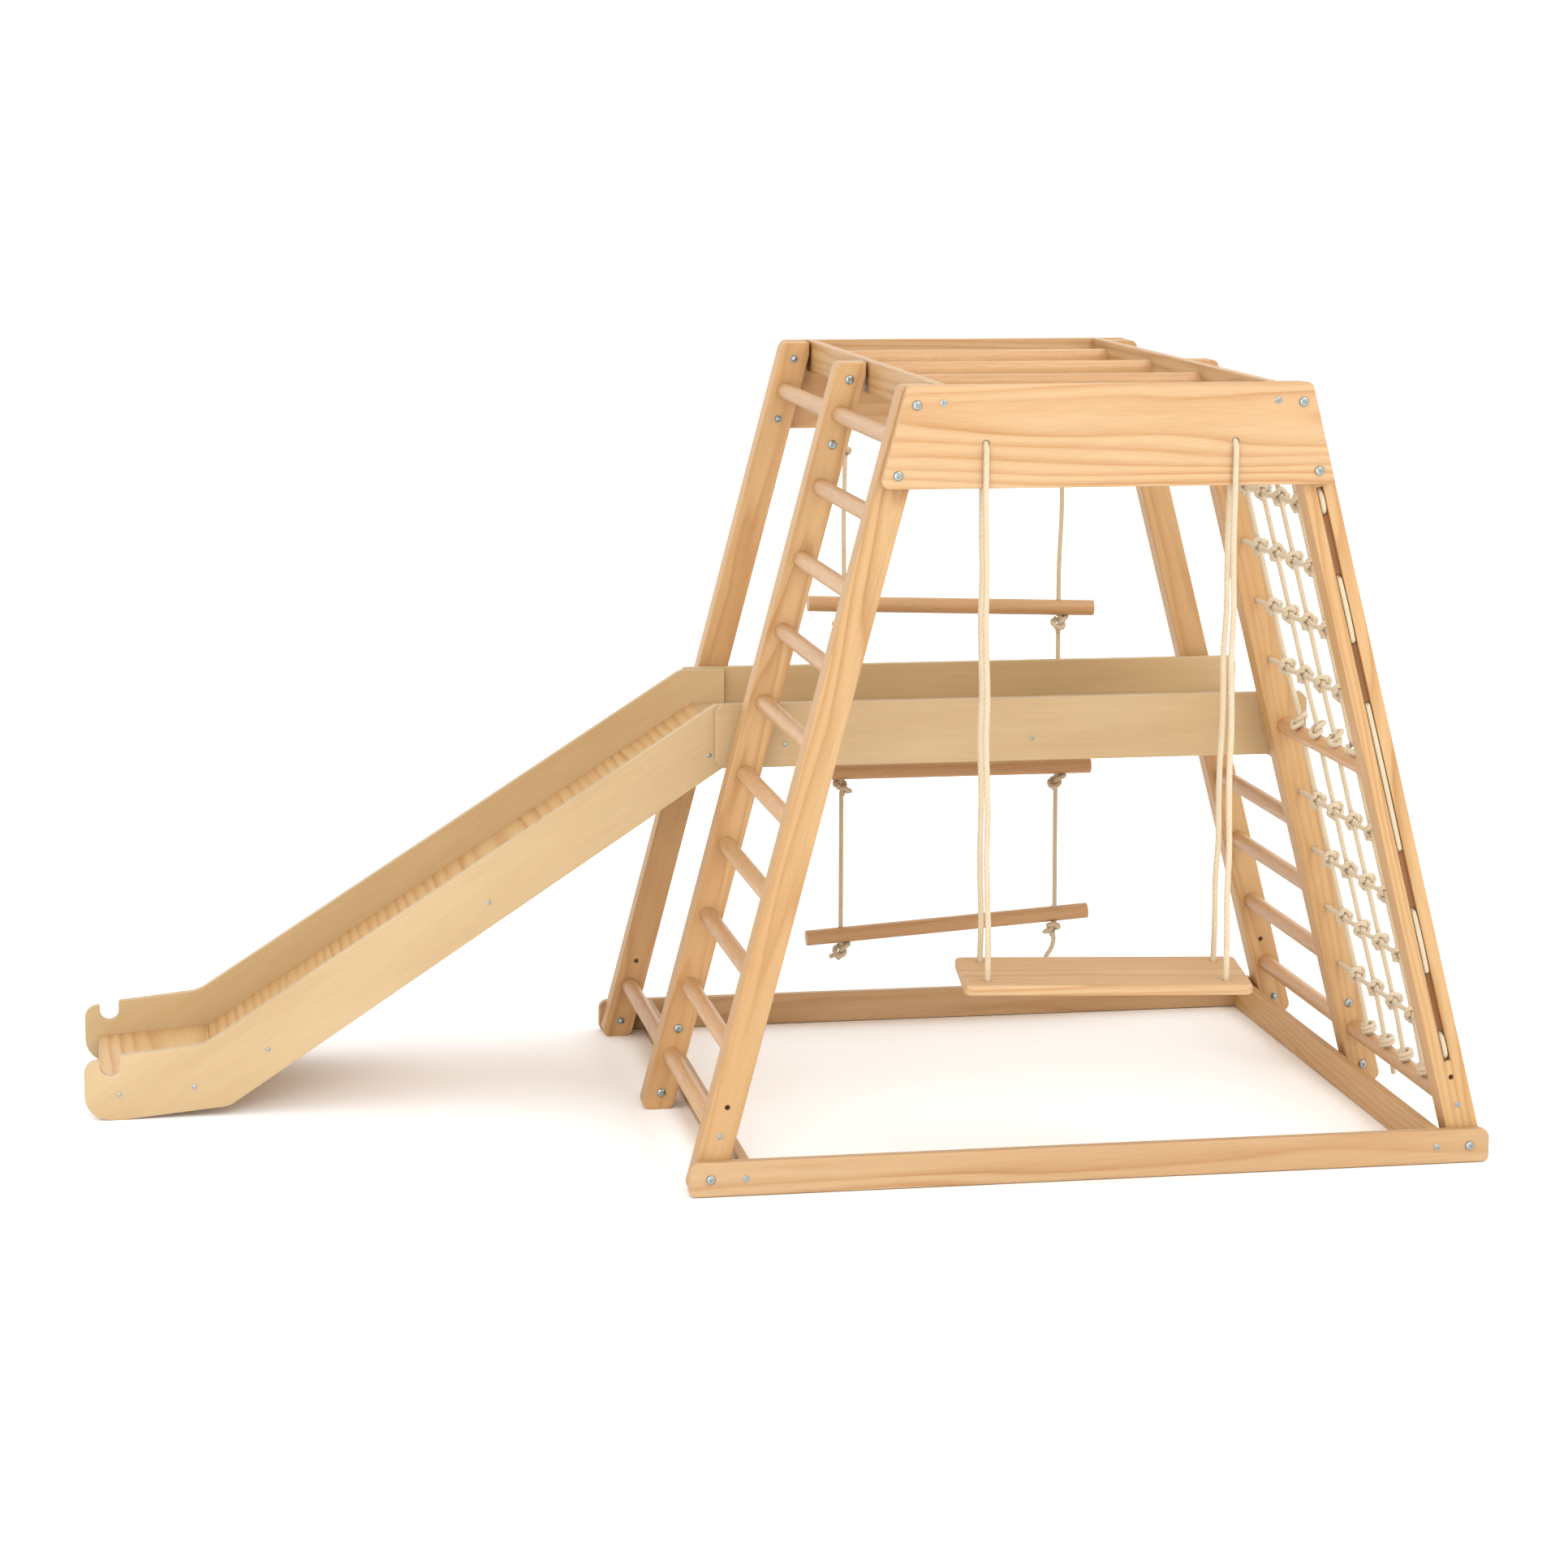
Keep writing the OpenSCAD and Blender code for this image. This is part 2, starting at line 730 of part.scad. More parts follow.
// One upright: it runs down through the three rungs with a knot on top of each, and its lower
// end passes the bottom of the lowest rung by the tail length
module net_column(y, tail) {
    lean = sqrt(1 + leg_slope * leg_slope);
    rest = (rung_d / 2 + net_knot_r + end_gap) / lean;
    low_z = rung_z(0) - (rung_d / 2 + tail) / lean;
    stretch(net_point(y, low_z), net_point(y, rung_z(top_k) + rest), net_rope_d);
    for (z = right_front_z)
        knot(net_point(y, z + rest), net_knot_r);
}

// ---- Fasteners ------------------------------------------------------------------------------

// A domed bolt with its nut; it enters at y0 and its nut sits at y1
module bolt(x, z, y0, y1) {
    dir = y1 > y0 ? 1 : -1;
    span = abs(y1 - y0);
    translate([x, y0, z])
        rotate([-90 * dir, 0, 0]) {
            cylinder(d = bolt_d, h = span + bolt_tip);
            translate([0, 0, -bolt_head_h])
                cylinder(d1 = bolt_head_d - 5, d2 = bolt_head_d, h = bolt_head_h);
            translate([0, 0, span])
                difference() {
                    cylinder(d1 = nut_d, d2 = nut_d - 4, h = nut_h);
                    translate([0, 0, -1])
                        cylinder(d = bolt_d + 2 * clear, h = bolt_tip + 1 + clear);
                }
        }
}

module frame_bolts() {
    color(zinc)
        for (side = [-1, 1]) {
            for (z = bolt_z) {
                bolt(side * leg_x(z), z, -lumber_t, leg_t);
                bolt(side * leg_x(z), z, depth + lumber_t, leg_y[2]);
            }
            for (z = concat(bolt_z, accessory_z))
                bolt(side * leg_x(z), z, leg_y[1], leg_y[1] + leg_t);
        }
}

// A screw driven along Y from the face at y; dir is 1 when it points to the back
module screw(x, z, y, dir, l, head_d) {
    translate([x, y, z])
        rotate([-90 * dir, 0, 0]) {
            cylinder(d = screw_d, h = l);
            translate([0, 0, -screw_head_h])
                cylinder(d1 = head_d - 2, d2 = head_d, h = screw_head_h);
        }
}

module screw_pair(x, z, y0, y1, l, head_d) {
    screw(x, z, y0, 1, l, head_d);
    screw(x, z, y1, -1, l, head_d);
}

module frame_screws() {
    color(zinc) {
        for (side = [-1, 1]) {
            screw_pair(side * cross_rail_x, bolt_z[0], -lumber_t, depth + lumber_t,
                lumber_t + screw_bite, 11);
            screw_pair(side * top_plate_x, bar_z, -lumber_t, depth + lumber_t,
                lumber_t + screw_bite, 11);
            screw_pair(side * leg_x(rung_low_z), rung_low_z, 0, depth, leg_t - clear, 9);
        }
        for (x = slide_screw_x)
            if (x < -platform_half)
                screw_pair(x, bed_mid(x), slide_y[0], slide_y[1] + ply_t, ply_t + screw_bite, 8);
        for (x = platform_screw_x)
            screw_pair(x, deck_top_z - deck_t / 2, platform_y[0], platform_y[1] + ply_t,
                ply_t + screw_bite, 8);
    }
}

// ---- Assembly -------------------------------------------------------------------------------

module placed() {
    translate(footprint_shift)
        children();
}

for (s = SIDES) {
    placed() front_leg(s[1]);
    placed() middle_leg(s[1]);
    placed() back_leg(s[1]);
    placed() cross_rail(s[1]);
    placed() top_plate(s[1]);
}
placed() beam(-lumber_t);  // front_beam
placed() beam(depth);  // back_beam
placed() rail(-lumber_t);  // front_rail
placed() rail(depth);  // back_rail
for (i = [1:4])
    placed() monkey_bar(i - 1);
for (set = RUNGS, i = [1:len(set[3])])
    placed() rung(set[1], set[2], set[3][i - 1]);
placed() platform_board(platform_y[0]);  // platform_front_board
placed() platform_board(platform_y[1]);  // platform_back_board
placed() platform_deck();
placed() slide_side(slide_y[0]);  // slide_front_side
placed() slide_side(slide_y[1]);  // slide_back_side
placed() slide_bed();
placed() slide_runout_bed();
placed() beam_loops();
placed() swing_seat();
placed() swing_ropes();
for (i = [1:3])
    placed() ladder_rung(i - 1);
placed() ladder_ropes_upper();
placed() ladder_ropes_middle();
placed() ladder_ropes_lower();
placed() ladder_tail();
placed() rope_net();
placed() frame_bolts();
placed() frame_screws();
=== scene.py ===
import math
import random

import bmesh
import bpy
import numpy as np
from mathutils import Matrix, Vector


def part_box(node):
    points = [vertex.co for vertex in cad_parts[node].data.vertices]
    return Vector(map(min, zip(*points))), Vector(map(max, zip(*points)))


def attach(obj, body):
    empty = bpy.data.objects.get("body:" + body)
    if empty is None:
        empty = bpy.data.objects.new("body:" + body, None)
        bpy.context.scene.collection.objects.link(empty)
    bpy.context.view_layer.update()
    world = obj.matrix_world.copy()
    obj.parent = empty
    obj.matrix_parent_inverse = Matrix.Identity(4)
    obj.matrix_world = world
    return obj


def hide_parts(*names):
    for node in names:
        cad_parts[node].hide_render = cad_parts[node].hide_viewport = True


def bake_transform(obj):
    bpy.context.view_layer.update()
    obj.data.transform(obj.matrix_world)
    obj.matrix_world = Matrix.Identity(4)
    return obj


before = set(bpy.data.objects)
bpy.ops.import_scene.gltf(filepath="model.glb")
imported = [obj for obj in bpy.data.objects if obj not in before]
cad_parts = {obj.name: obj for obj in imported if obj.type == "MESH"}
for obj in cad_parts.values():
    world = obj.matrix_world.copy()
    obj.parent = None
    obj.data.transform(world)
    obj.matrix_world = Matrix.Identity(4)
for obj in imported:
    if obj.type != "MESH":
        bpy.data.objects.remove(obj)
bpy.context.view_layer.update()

MM = 0.001
dice = random.Random(7)

# ---- Places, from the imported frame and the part's own dimensions ------------------------------

beam_low, beam_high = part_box("front_beam")
back_low, back_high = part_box("back_beam")
seat_low, seat_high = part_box("swing_seat")

TOWER_X = (beam_low.x + beam_high.x) / 2
FRONT_Y = beam_high.y
DEPTH = back_low.y - beam_high.y
BEAM_T = beam_high.y - beam_low.y
BEAM_LOW_Z = beam_low.z
LEG_T = 45 * MM
BAY = (DEPTH - LEG_T) / 2
LEG_FOOT = 657 * MM
LEG_SLOPE = 0.262
BOARD_T = 15 * MM
RUNG_R = 15 * MM
RUNG_LOW_Z = 98 * MM
RUNG_STEP = 125.5 * MM
MID_RUNG_Z = RUNG_LOW_Z + 4.5 * RUNG_STEP
TOP_RUNG_Z = RUNG_LOW_Z + 9 * RUNG_STEP
ROPE_HOLE_Z = 1226 * MM
SLIDE_RISE = 0.643
SEAT_TWIST = math.radians(8)


def tower(x, y, z):
    """A point given from the tower's middle, the front legs' outer face and the floor."""
    return Vector((TOWER_X + x, FRONT_Y + y, z))


def leg_x(z):
    """How far the middle of a leg stands from the tower's middle, at height z."""
    return LEG_FOOT - LEG_SLOPE * z


# ---- Camera ------------------------------------------------------------------------------------

CAMERA_AT = tower(-1.586, -5.893, 1.766)
CAMERA_YAW = math.radians(10.18)
CAMERA_PITCH = math.radians(10.28)
CAMERA_ROLL = math.radians(0.28)
SENSOR_WIDTH = 36
LENS = 86.78
FARTHEST = 60


def make_camera():
    """A camera turned by its yaw, then its pitch, then its roll."""
    level = Vector((math.sin(CAMERA_YAW), math.cos(CAMERA_YAW), 0))
    right = Vector((math.cos(CAMERA_YAW), -math.sin(CAMERA_YAW), 0))
    up = Vector((0, 0, 1))
    ahead = level * math.cos(CAMERA_PITCH) - up * math.sin(CAMERA_PITCH)
    up = up * math.cos(CAMERA_PITCH) + level * math.sin(CAMERA_PITCH)
    rolled = right * math.cos(CAMERA_ROLL) + up * math.sin(CAMERA_ROLL)
    up = up * math.cos(CAMERA_ROLL) - right * math.sin(CAMERA_ROLL)
    data = bpy.data.cameras.new("camera")
    data.sensor_width = SENSOR_WIDTH
    data.lens = LENS
    data.clip_end = FARTHEST
    camera = bpy.data.objects.new("camera", data)
    facing = Matrix((rolled, up, -ahead)).transposed().to_4x4()
    camera.matrix_world = Matrix.Translation(CAMERA_AT) @ facing
    bpy.context.scene.collection.objects.link(camera)
    bpy.context.scene.camera = camera


make_camera()

# ---- Materials ---------------------------------------------------------------------------------

COAT_ROUGHNESS = 0.35


class Shader:
    """A material with short calls for the nodes that this scene uses."""

    # Outputs of the attribute node and of the texture coordinate node
    COLOUR, VECTOR, FACTOR = 0, 1, 2
    OWN_SPACE = 3
    # Colour inputs and output of the mix node
    MIX_FACTOR, MIX_A, MIX_B, MIX_RESULT = 0, 6, 7, 2

    def __init__(self, name, roughness, metallic=0.0, coat=0.0):
        self.material = bpy.data.materials.new(name)
        self.material.use_nodes = True
        self.tree = self.material.node_tree
        self.bsdf = self.tree.nodes["Principled BSDF"]
        self.bsdf.inputs["Roughness"].default_value = roughness
        self.bsdf.inputs["Metallic"].default_value = metallic
        self.bsdf.inputs["Coat Weight"].default_value = coat
        self.bsdf.inputs["Coat Roughness"].default_value = COAT_ROUGHNESS

    def node(self, kind, *values, out=0, **settings):
        made = self.tree.nodes.new(kind)
        for key, value in settings.items():
            setattr(made, key, value)
        for index, value in enumerate(values):
            if isinstance(value, bpy.types.NodeSocket):
                self.tree.links.new(value, made.inputs[index])
            elif value is not None:
                made.inputs[index].default_value = value
        return made.outputs[out]

    def math(self, operation, *values):
        return self.node("ShaderNodeMath", *values, operation=operation)

    def vector(self, operation, *values):
        return self.node("ShaderNodeVectorMath", *values, operation=operation)

    def attribute(self, name, out=VECTOR):
        return self.node("ShaderNodeAttribute", out=out, attribute_name=name)

    def own_space(self):
        return self.node("ShaderNodeTexCoord", out=self.OWN_SPACE)

    def noise(self, vector, stretch, detail=2.0, rough=0.5, colour=False):
        """Noise with its own number of repeats in a metre along each axis."""
        scaled = self.vector("MULTIPLY", vector, stretch)
        made = self.tree.nodes.new("ShaderNodeTexNoise")
        self.tree.links.new(scaled, made.inputs["Vector"])
        made.inputs["Scale"].default_value = 1.0
        made.inputs["Detail"].default_value = detail
        made.inputs["Roughness"].default_value = rough
        return made.outputs["Color" if colour else "Fac"]

    def ramp(self, factor, stops):
        """A ramp through (place, grey level or colour) pairs."""
        made = self.tree.nodes.new("ShaderNodeValToRGB")
        self.tree.links.new(factor, made.inputs[0])
        ramp = made.color_ramp
        while len(ramp.elements) < len(stops):
            ramp.elements.new(0.5)
        for element, (place, value) in zip(ramp.elements, stops):
            element.position = place
            element.color = (value, value, value, 1) if isinstance(value, float) else (*value, 1)
        return made.outputs[0]

    def mix(self, factor, a, b, blend="MIX"):
        made = self.tree.nodes.new("ShaderNodeMix")
        made.data_type = "RGBA"
        made.blend_type = blend
        for index, value in ((self.MIX_FACTOR, factor), (self.MIX_A, a), (self.MIX_B, b)):
            socket = made.inputs[index]
            if isinstance(value, bpy.types.NodeSocket):
                self.tree.links.new(value, socket)
            else:
                socket.default_value = value if isinstance(value, float) else (*value, 1)
        return made.outputs[self.MIX_RESULT]

    def times(self, a, b):
        return self.mix(1.0, a, b, "MULTIPLY")

    def finish(self, colour, roughness=None, height=None, depth=0.001, strength=0.5):
        self.tree.links.new(colour, self.bsdf.inputs["Base Color"])
        if roughness is not None:
            self.tree.links.new(roughness, self.bsdf.inputs["Roughness"])
        if height is not None:
            bump = self.tree.nodes.new("ShaderNodeBump")
            bump.inputs["Distance"].default_value = depth
            bump.inputs["Strength"].default_value = strength
            self.tree.links.new(height, bump.inputs["Height"])
            self.tree.links.new(bump.outputs[0], self.bsdf.inputs["Normal"])
        return self.material


def pine_material(name, early, late, ring, contrast):
    """Softwood: growth rings round a pith beside the board, in the board's own grain directions."""
    wobble = 30 * MM
    s = Shader(name, 0.5, coat=0.08)
    grain = s.attribute("grain")
    wander = s.vector("SUBTRACT", s.noise(grain, (1.3, 11, 11), colour=True), (0.5, 0.5, 0.5))
    bent = s.vector("ADD", grain, s.vector("MULTIPLY", wander, (0, wobble, wobble)))
    parts = s.tree.nodes.new("ShaderNodeSeparateXYZ")
    s.tree.links.new(bent, parts.inputs[0])
    across = s.math("MULTIPLY", parts.outputs[1], parts.outputs[1])
    through = s.math("MULTIPLY", parts.outputs[2], parts.outputs[2])
    radius = s.math("SQRT", s.math("ADD", across, through))
    place = s.math("FRACT", s.math("DIVIDE", radius, ring))
    band = s.ramp(place, [(0.0, 0.12), (0.3, 0.0), (0.66, 0.55), (0.86, 1.0), (0.97, 0.25)])
    patch = s.noise(grain, (2.2, 22, 22), 3.0)
    band = s.math("MULTIPLY", band, s.math("MULTIPLY", patch, 2 * contrast))
    fibre = s.noise(grain, (14, 900, 900), 3.0, 0.7)
    tone = s.noise(grain, (1.1, 14, 14), 2.0)
    colour = s.mix(band, early, late)
    warm = tuple(c * k for c, k in zip(early, (0.95, 0.86, 0.76)))
    colour = s.mix(s.ramp(tone, [(0.35, 0.0), (0.75, 0.75)]), colour, warm)
    streak = s.ramp(fibre, [(0.38, 0.90), (0.6, 1.0)])
    colour = s.times(colour, streak)
    colour = s.times(colour, s.attribute("tone", s.COLOUR))
    rough = s.ramp(fibre, [(0.3, 0.58), (0.7, 0.44)])
    height = s.math("ADD", fibre, s.math("MULTIPLY", band, 0.6))
    return s.finish(colour, rough, height, depth=0.4 * MM, strength=0.35)


def beech_material():
    """Hardwood dowel: an even pinkish tan with short dark flecks along the grain."""
    s = Shader("beech", 0.42, coat=0.12)
    grain = s.attribute("grain")
    tone = s.noise(grain, (1.6, 60, 60), 2.0)
    fibre = s.noise(grain, (22, 800, 800), 2.0, 0.6)
    fleck = s.noise(grain, (90, 1300, 1300), 1.0)
    colour = s.ramp(tone, [(0.3, (0.48, 0.275, 0.132)), (0.7, (0.56, 0.345, 0.178))])
    colour = s.times(colour, s.ramp(fibre, [(0.35, 0.86), (0.65, 1.0)]))
    colour = s.mix(s.ramp(fleck, [(0.62, 0.0), (0.7, 0.35)]), colour, (0.30, 0.15, 0.075))
    colour = s.times(colour, s.attribute("tone", s.COLOUR))
    rough = s.ramp(fibre, [(0.3, 0.52), (0.7, 0.38)])
    return s.finish(colour, rough, fibre, depth=0.3 * MM, strength=0.3)


def plywood_material():
    """Birch plywood: pale faces with a broad faint figure, and thin dark plies along its edges."""
    pairs_of_plies = 4.0
    s = Shader("plywood", 0.46, coat=0.1)
    grain = s.attribute("grain")
    figure = s.noise(grain, (1.8, 12, 0), 3.0, 0.6)
    line = s.noise(grain, (9, 260, 0), 3.0, 0.6)
    colour = s.ramp(figure, [
        (0.3, (0.475, 0.337, 0.184)), (0.5, (0.505, 0.365, 0.205)), (0.7, (0.530, 0.393, 0.229)),
    ])
    colour = s.times(colour, s.ramp(line, [(0.35, 0.955), (0.62, 1.0)]))
    depth = s.attribute("ply", s.FACTOR)
    layer = s.math("FRACT", s.math("MULTIPLY", depth, pairs_of_plies))
    inner = s.ramp(layer, [(0.0, 1.0), (0.44, 1.0), (0.5, 0.72), (0.94, 0.72), (1.0, 1.0)])
    fade = s.ramp(s.math("ABSOLUTE", s.math("SUBTRACT", depth, 0.5)), [(0.44, 0.0), (0.46, 1.0)])
    colour = s.times(colour, s.mix(fade, inner, (1.0, 1.0, 1.0)))
    colour = s.times(colour, s.attribute("tone", s.COLOUR))
    rough = s.ramp(line, [(0.3, 0.55), (0.7, 0.42)])
    return s.finish(colour, rough, line, depth=0.2 * MM, strength=0.25)


def rope_material():
    """Undyed cotton rope: cream, with painted shade down in the lay between the strands, and a fibrous
    surface.
    """
    s = Shader("rope", 0.9)
    place = s.own_space()
    fuzz = s.noise(place, (900, 900, 900), 3.0, 0.7)
    patch = s.noise(place, (30, 30, 30), 2.0)
    lay = s.attribute("lay", s.FACTOR)
    # Painted shade: the colour darkens where the lay value falls, down between the strands.
    colour = s.ramp(lay, [
        (0.0, (0.53, 0.420, 0.285)), (0.3, (0.575, 0.470, 0.330)), (1.0, (0.60, 0.505, 0.370)),
    ])
    colour = s.mix(s.ramp(patch, [(0.35, 0.0), (0.75, 0.3)]), colour, (0.50, 0.385, 0.245))
    colour = s.times(colour, s.ramp(fuzz, [(0.3, 0.88), (0.7, 1.0)]))
    s.bsdf.inputs["Sheen Weight"].default_value = 0.15
    return s.finish(colour, height=fuzz, depth=0.6 * MM)


def zinc_material():
    """Zinc plate: a dull grey metal, a little cloudy."""
    s = Shader("zinc", 0.3, metallic=1.0)
    place = s.own_space()
    cloud = s.noise(place, (300, 300, 300), 2.0)
    colour = s.ramp(cloud, [(0.3, (0.26, 0.30, 0.30)), (0.7, (0.44, 0.48, 0.47))])
    rough = s.ramp(cloud, [(0.3, 0.22), (0.7, 0.36)])
    return s.finish(colour, rough, cloud, depth=0.2 * MM, strength=0.2)


PINE = pine_material(
    "pine", early=(0.520, 0.350, 0.196), late=(0.405, 0.215, 0.085), ring=8.5 * MM, contrast=0.85)
PINE_FINE = pine_material(
    "pine_fine", early=(0.535, 0.343, 0.168), late=(0.41, 0.215, 0.080), ring=6 * MM, contrast=0.80)
PINE_BOLD = pine_material(
    "pine_bold", early=(0.58, 0.390, 0.195), late=(0.43, 0.210, 0.072), ring=19 * MM, contrast=0.80)
BEECH = beech_material()
PLYWOOD = plywood_material()
ROPE = rope_material()
ZINC = zinc_material()

# ---- Ropes -------------------------------------------------------------------------------------

X_AXIS, Y_AXIS, Z_AXIS = Vector((1, 0, 0)), Vector((0, 1, 0)), Vector((0, 0, 1))
NEARLY_ALONG = 0.9
ROPE_STEP = 2.4 * MM
ROPE_CLEAR = 0.3 * MM
LAY_SIDES = 15
LAY_STRANDS = 3
LAY_PITCH = 3.4
LAY_DEPTH = 0.05
LAY_ROUND = 0.7
END_TAPER = 0.8
KNOT_SQUEEZE = 0.92
KNOT_LOW = 1.55


def overhand_knot(count=110, rounds=700):
    """Centreline of a tight overhand knot, for a rope one unit thick that runs down the Z axis.

    A loose knot is pulled at both ends, while its strands push each other one rope apart.
    """
    half_range, scale = 2.25, 0.8
    ends_from, ends_over = 1.9, 0.35
    lead, touch_after = 14, 1.7
    pull, narrowing, stiffness = 0.02, 0.8, 0.12
    pushes, push_share = 6, 0.3
    bulk_half, kept_half = 1.5, 2.4
    t = np.linspace(-half_range, half_range, count)
    p = np.stack([t ** 3 - 3 * t, t ** 4 - 4 * t ** 2, -(t ** 5 - 10 * t) / 6], 1) * scale
    ends = np.clip((np.abs(t) - ends_from) / ends_over, 0, 1)[:, None]
    p[:, :2] *= 1 - ends
    top, low = p[0], p[-1]
    step = np.linalg.norm(np.diff(p, axis=0), axis=1).sum() / count
    above = [top + [0, 0, step * k] for k in range(lead, 0, -1)]
    below = [low - [0, 0, step * k] for k in range(1, lead + 1)]
    p = np.array([*above, *p, *below])
    n = len(p)
    part = np.linalg.norm(np.diff(p, axis=0), axis=1).mean()
    apart = int(math.ceil(touch_after / part))
    far = np.abs(np.subtract.outer(np.arange(n), np.arange(n))) >= apart
    for _ in range(rounds):
        p[0, 2] += pull
        p[-1, 2] -= pull
        p[:lead // 2, :2] *= narrowing
        p[-lead // 2:, :2] *= narrowing
        p[1:-1] += stiffness * ((p[:-2] + p[2:]) / 2 - p[1:-1])
        for _ in range(pushes):
            gap = p[:, None] - p[None]
            size = np.linalg.norm(gap, axis=2) + 1e-9
            push = np.where(far & (size < 1.0), (1.0 - size) / size, 0)[..., None] * gap
            p += push_share * push.sum(1)
            along = np.diff(p, axis=0)
            length = np.linalg.norm(along, axis=1)[:, None] + 1e-9
            fix = along * (1 - part / length) * 0.5
            p[:-1] += fix
            p[1:] -= fix
    bulk = p[np.abs(p[:, 2]) < bulk_half]
    p -= (bulk.max(0) + bulk.min(0)) / 2
    return p[np.abs(p[:, 2]) < kept_half]


KNOT = overhand_knot()


def frame_for(axis):
    """Two directions at right angles to axis and to each other."""
    side = Y_AXIS if abs(axis.dot(Y_AXIS)) < NEARLY_ALONG else X_AXIS
    u = axis.cross(side).normalized()
    return u, axis.cross(u).normalized()


def knot_points(centre, down, diameter, turn=0.0):
    """Points of an overhand knot at centre, for a rope that runs in the direction down."""
    u, v = frame_for(down)
    c, s = math.cos(turn), math.sin(turn)
    a, b = u * c + v * s, v * c - u * s
    return [centre + diameter * (a * x + b * y - down * z) for x, y, z in KNOT.tolist()]


def smooth(points, step):
    """A Catmull-Rom curve through the points, in even steps."""
    spans = 8
    p = [points[0] * 2 - points[1], *points, points[-1] * 2 - points[-2]]
    fine = []
    for a, b, c, d in zip(p, p[1:], p[2:], p[3:]):
        for k in range(spans):
            t = k / spans
            fine.append(0.5 * (2 * b + (c - a) * t + (2 * a - 5 * b + 4 * c - d) * t ** 2
                               + (3 * b - a - 3 * c + d) * t ** 3))
    fine.append(points[-1].copy())
    line = np.array([list(q) for q in fine])
    gone = np.concatenate([[0], np.cumsum(np.linalg.norm(np.diff(line, axis=0), axis=1))])
    at = np.linspace(0, gone[-1], max(3, int(gone[-1] / step)))
    return np.stack([np.interp(at, gone, line[:, k]) for k in range(3)], 1)


def rope_part(line, diameter, first):
    """Vertices, faces and lay values of one twisted rope along a line of points."""
    n = len(line)
    heading = np.gradient(line, axis=0)
    heading /= np.linalg.norm(heading, axis=1)[:, None]
    u = np.zeros_like(line)
    aside = [0.3, 0.9, 0.2]
    start = np.cross(heading[0], aside)
    u[0] = start / np.linalg.norm(start)
    for i in range(1, n):
        side = u[i - 1] - heading[i] * (u[i - 1] @ heading[i])
        u[i] = side / np.linalg.norm(side)
    v = np.cross(heading, u)
    gone = np.concatenate([[0], np.cumsum(np.linalg.norm(np.diff(line, axis=0), axis=1))])
    turn = gone / (LAY_PITCH * diameter) * 2 * math.pi
    angle = np.arange(LAY_SIDES) / LAY_SIDES * 2 * math.pi
    lobe = np.abs(np.cos(LAY_STRANDS / 2 * (angle[None] - turn[:, None])))
    reach = diameter / 2 * (1 - LAY_DEPTH + LAY_DEPTH * lobe ** LAY_ROUND)
    reach[0] *= END_TAPER
    reach[-1] *= END_TAPER
    points = (line[:, None] + reach[..., None] * (np.cos(angle)[None, :, None] * u[:, None]
                                                 + np.sin(angle)[None, :, None] * v[:, None]))
    faces = []
    for i in range(n - 1):
        for k in range(LAY_SIDES):
            j = (k + 1) % LAY_SIDES
            a = first + i * LAY_SIDES
            faces.append((a + k, a + j, a + LAY_SIDES + j, a + LAY_SIDES + k))
    faces.append(tuple(first + k for k in reversed(range(LAY_SIDES))))
    faces.append(tuple(first + (n - 1) * LAY_SIDES + k for k in range(LAY_SIDES)))
    return points.reshape(-1, 3), faces, lobe.reshape(-1)


def make_object(name, mesh, material, body=None, slot=None):
    """Puts a mesh into the scene, and sets its body where it is given. Its slot is not used."""
    made = bpy.data.objects.new(name, mesh)
    bpy.context.scene.collection.objects.link(made)
    made.data.materials.clear()
    made.data.materials.append(material)
    if body:
        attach(made, body)
    return made


def rope(name, routes, diameter):
    """One piece of rope along each route, as a single mesh."""
    vertices, faces, lay = [], [], []
    count = 0
    for route in routes:
        points, skin, value = rope_part(smooth(route, ROPE_STEP), diameter, count)
        vertices.append(points)
        faces.extend(skin)
        lay.append(value)
        count += len(points)
    mesh = bpy.data.meshes.new(name)
    mesh.from_pydata(np.concatenate(vertices).tolist(), [], faces)
    mesh.shade_smooth()
    mesh.attributes.new("lay", "FLOAT", "POINT").data.foreach_set(
        "value", np.concatenate(lay).astype(np.float32))
    return make_object(name, mesh, ROPE, slot="rope")


# The free tail at the rope ladder's lowest right knot, in millimetres from the tower's middle, the
# ladder's plane and the floor. It hangs down in a loose wave.
LADDER_Y = (back_low.y + back_high.y) / 2 - FRONT_Y
LADDER_D = 9 * MM
TAIL = [
    (212, 0, 164), (213, 0, 156), (214, 1, 148), (213, 2, 140), (211, 3, 132), (207, 3, 124),
    (202, 3, 117), (198, 2, 109), (196, 1, 101), (196, 0, 92), (199, 0, 84), (202, 0, 79),
]


def ladder_tail():
    route = [tower(x * MM, LADDER_Y + y * MM, z * MM) for x, y, z in TAIL]
    line = smooth(route, ROPE_STEP)
    tail = rope("ladder_tail_rope", [route], LADDER_D)
    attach(tail, "ladder_lower")
    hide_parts("ladder_tail")
    tuple(route[0])


ladder_tail()


def through_beam(x, mid_y, offset):
    """Route from under a beam up its front face, through its rope hole and down its back face."""
    front, back = mid_y - offset, mid_y + offset
    lean = 0.4 * MM
    low, below, lip = BEAM_LOW_Z + 20 * MM, ROPE_HOLE_Z - 22 * MM, ROPE_HOLE_Z - 9 * MM
    mouth = BEAM_T / 2 - 4 * MM
    mouth_z, crest = ROPE_HOLE_Z + 1 * MM, ROPE_HOLE_Z + 1.5 * MM
    return [
        tower(x, front, low), tower(x, front, below), tower(x, front + lean, lip),
        tower(x, mid_y - mouth, mouth_z), tower(x, mid_y, crest), tower(x, mid_y + mouth, mouth_z),
        tower(x, back - lean, lip), tower(x, back, below), tower(x, back, low),
    ]


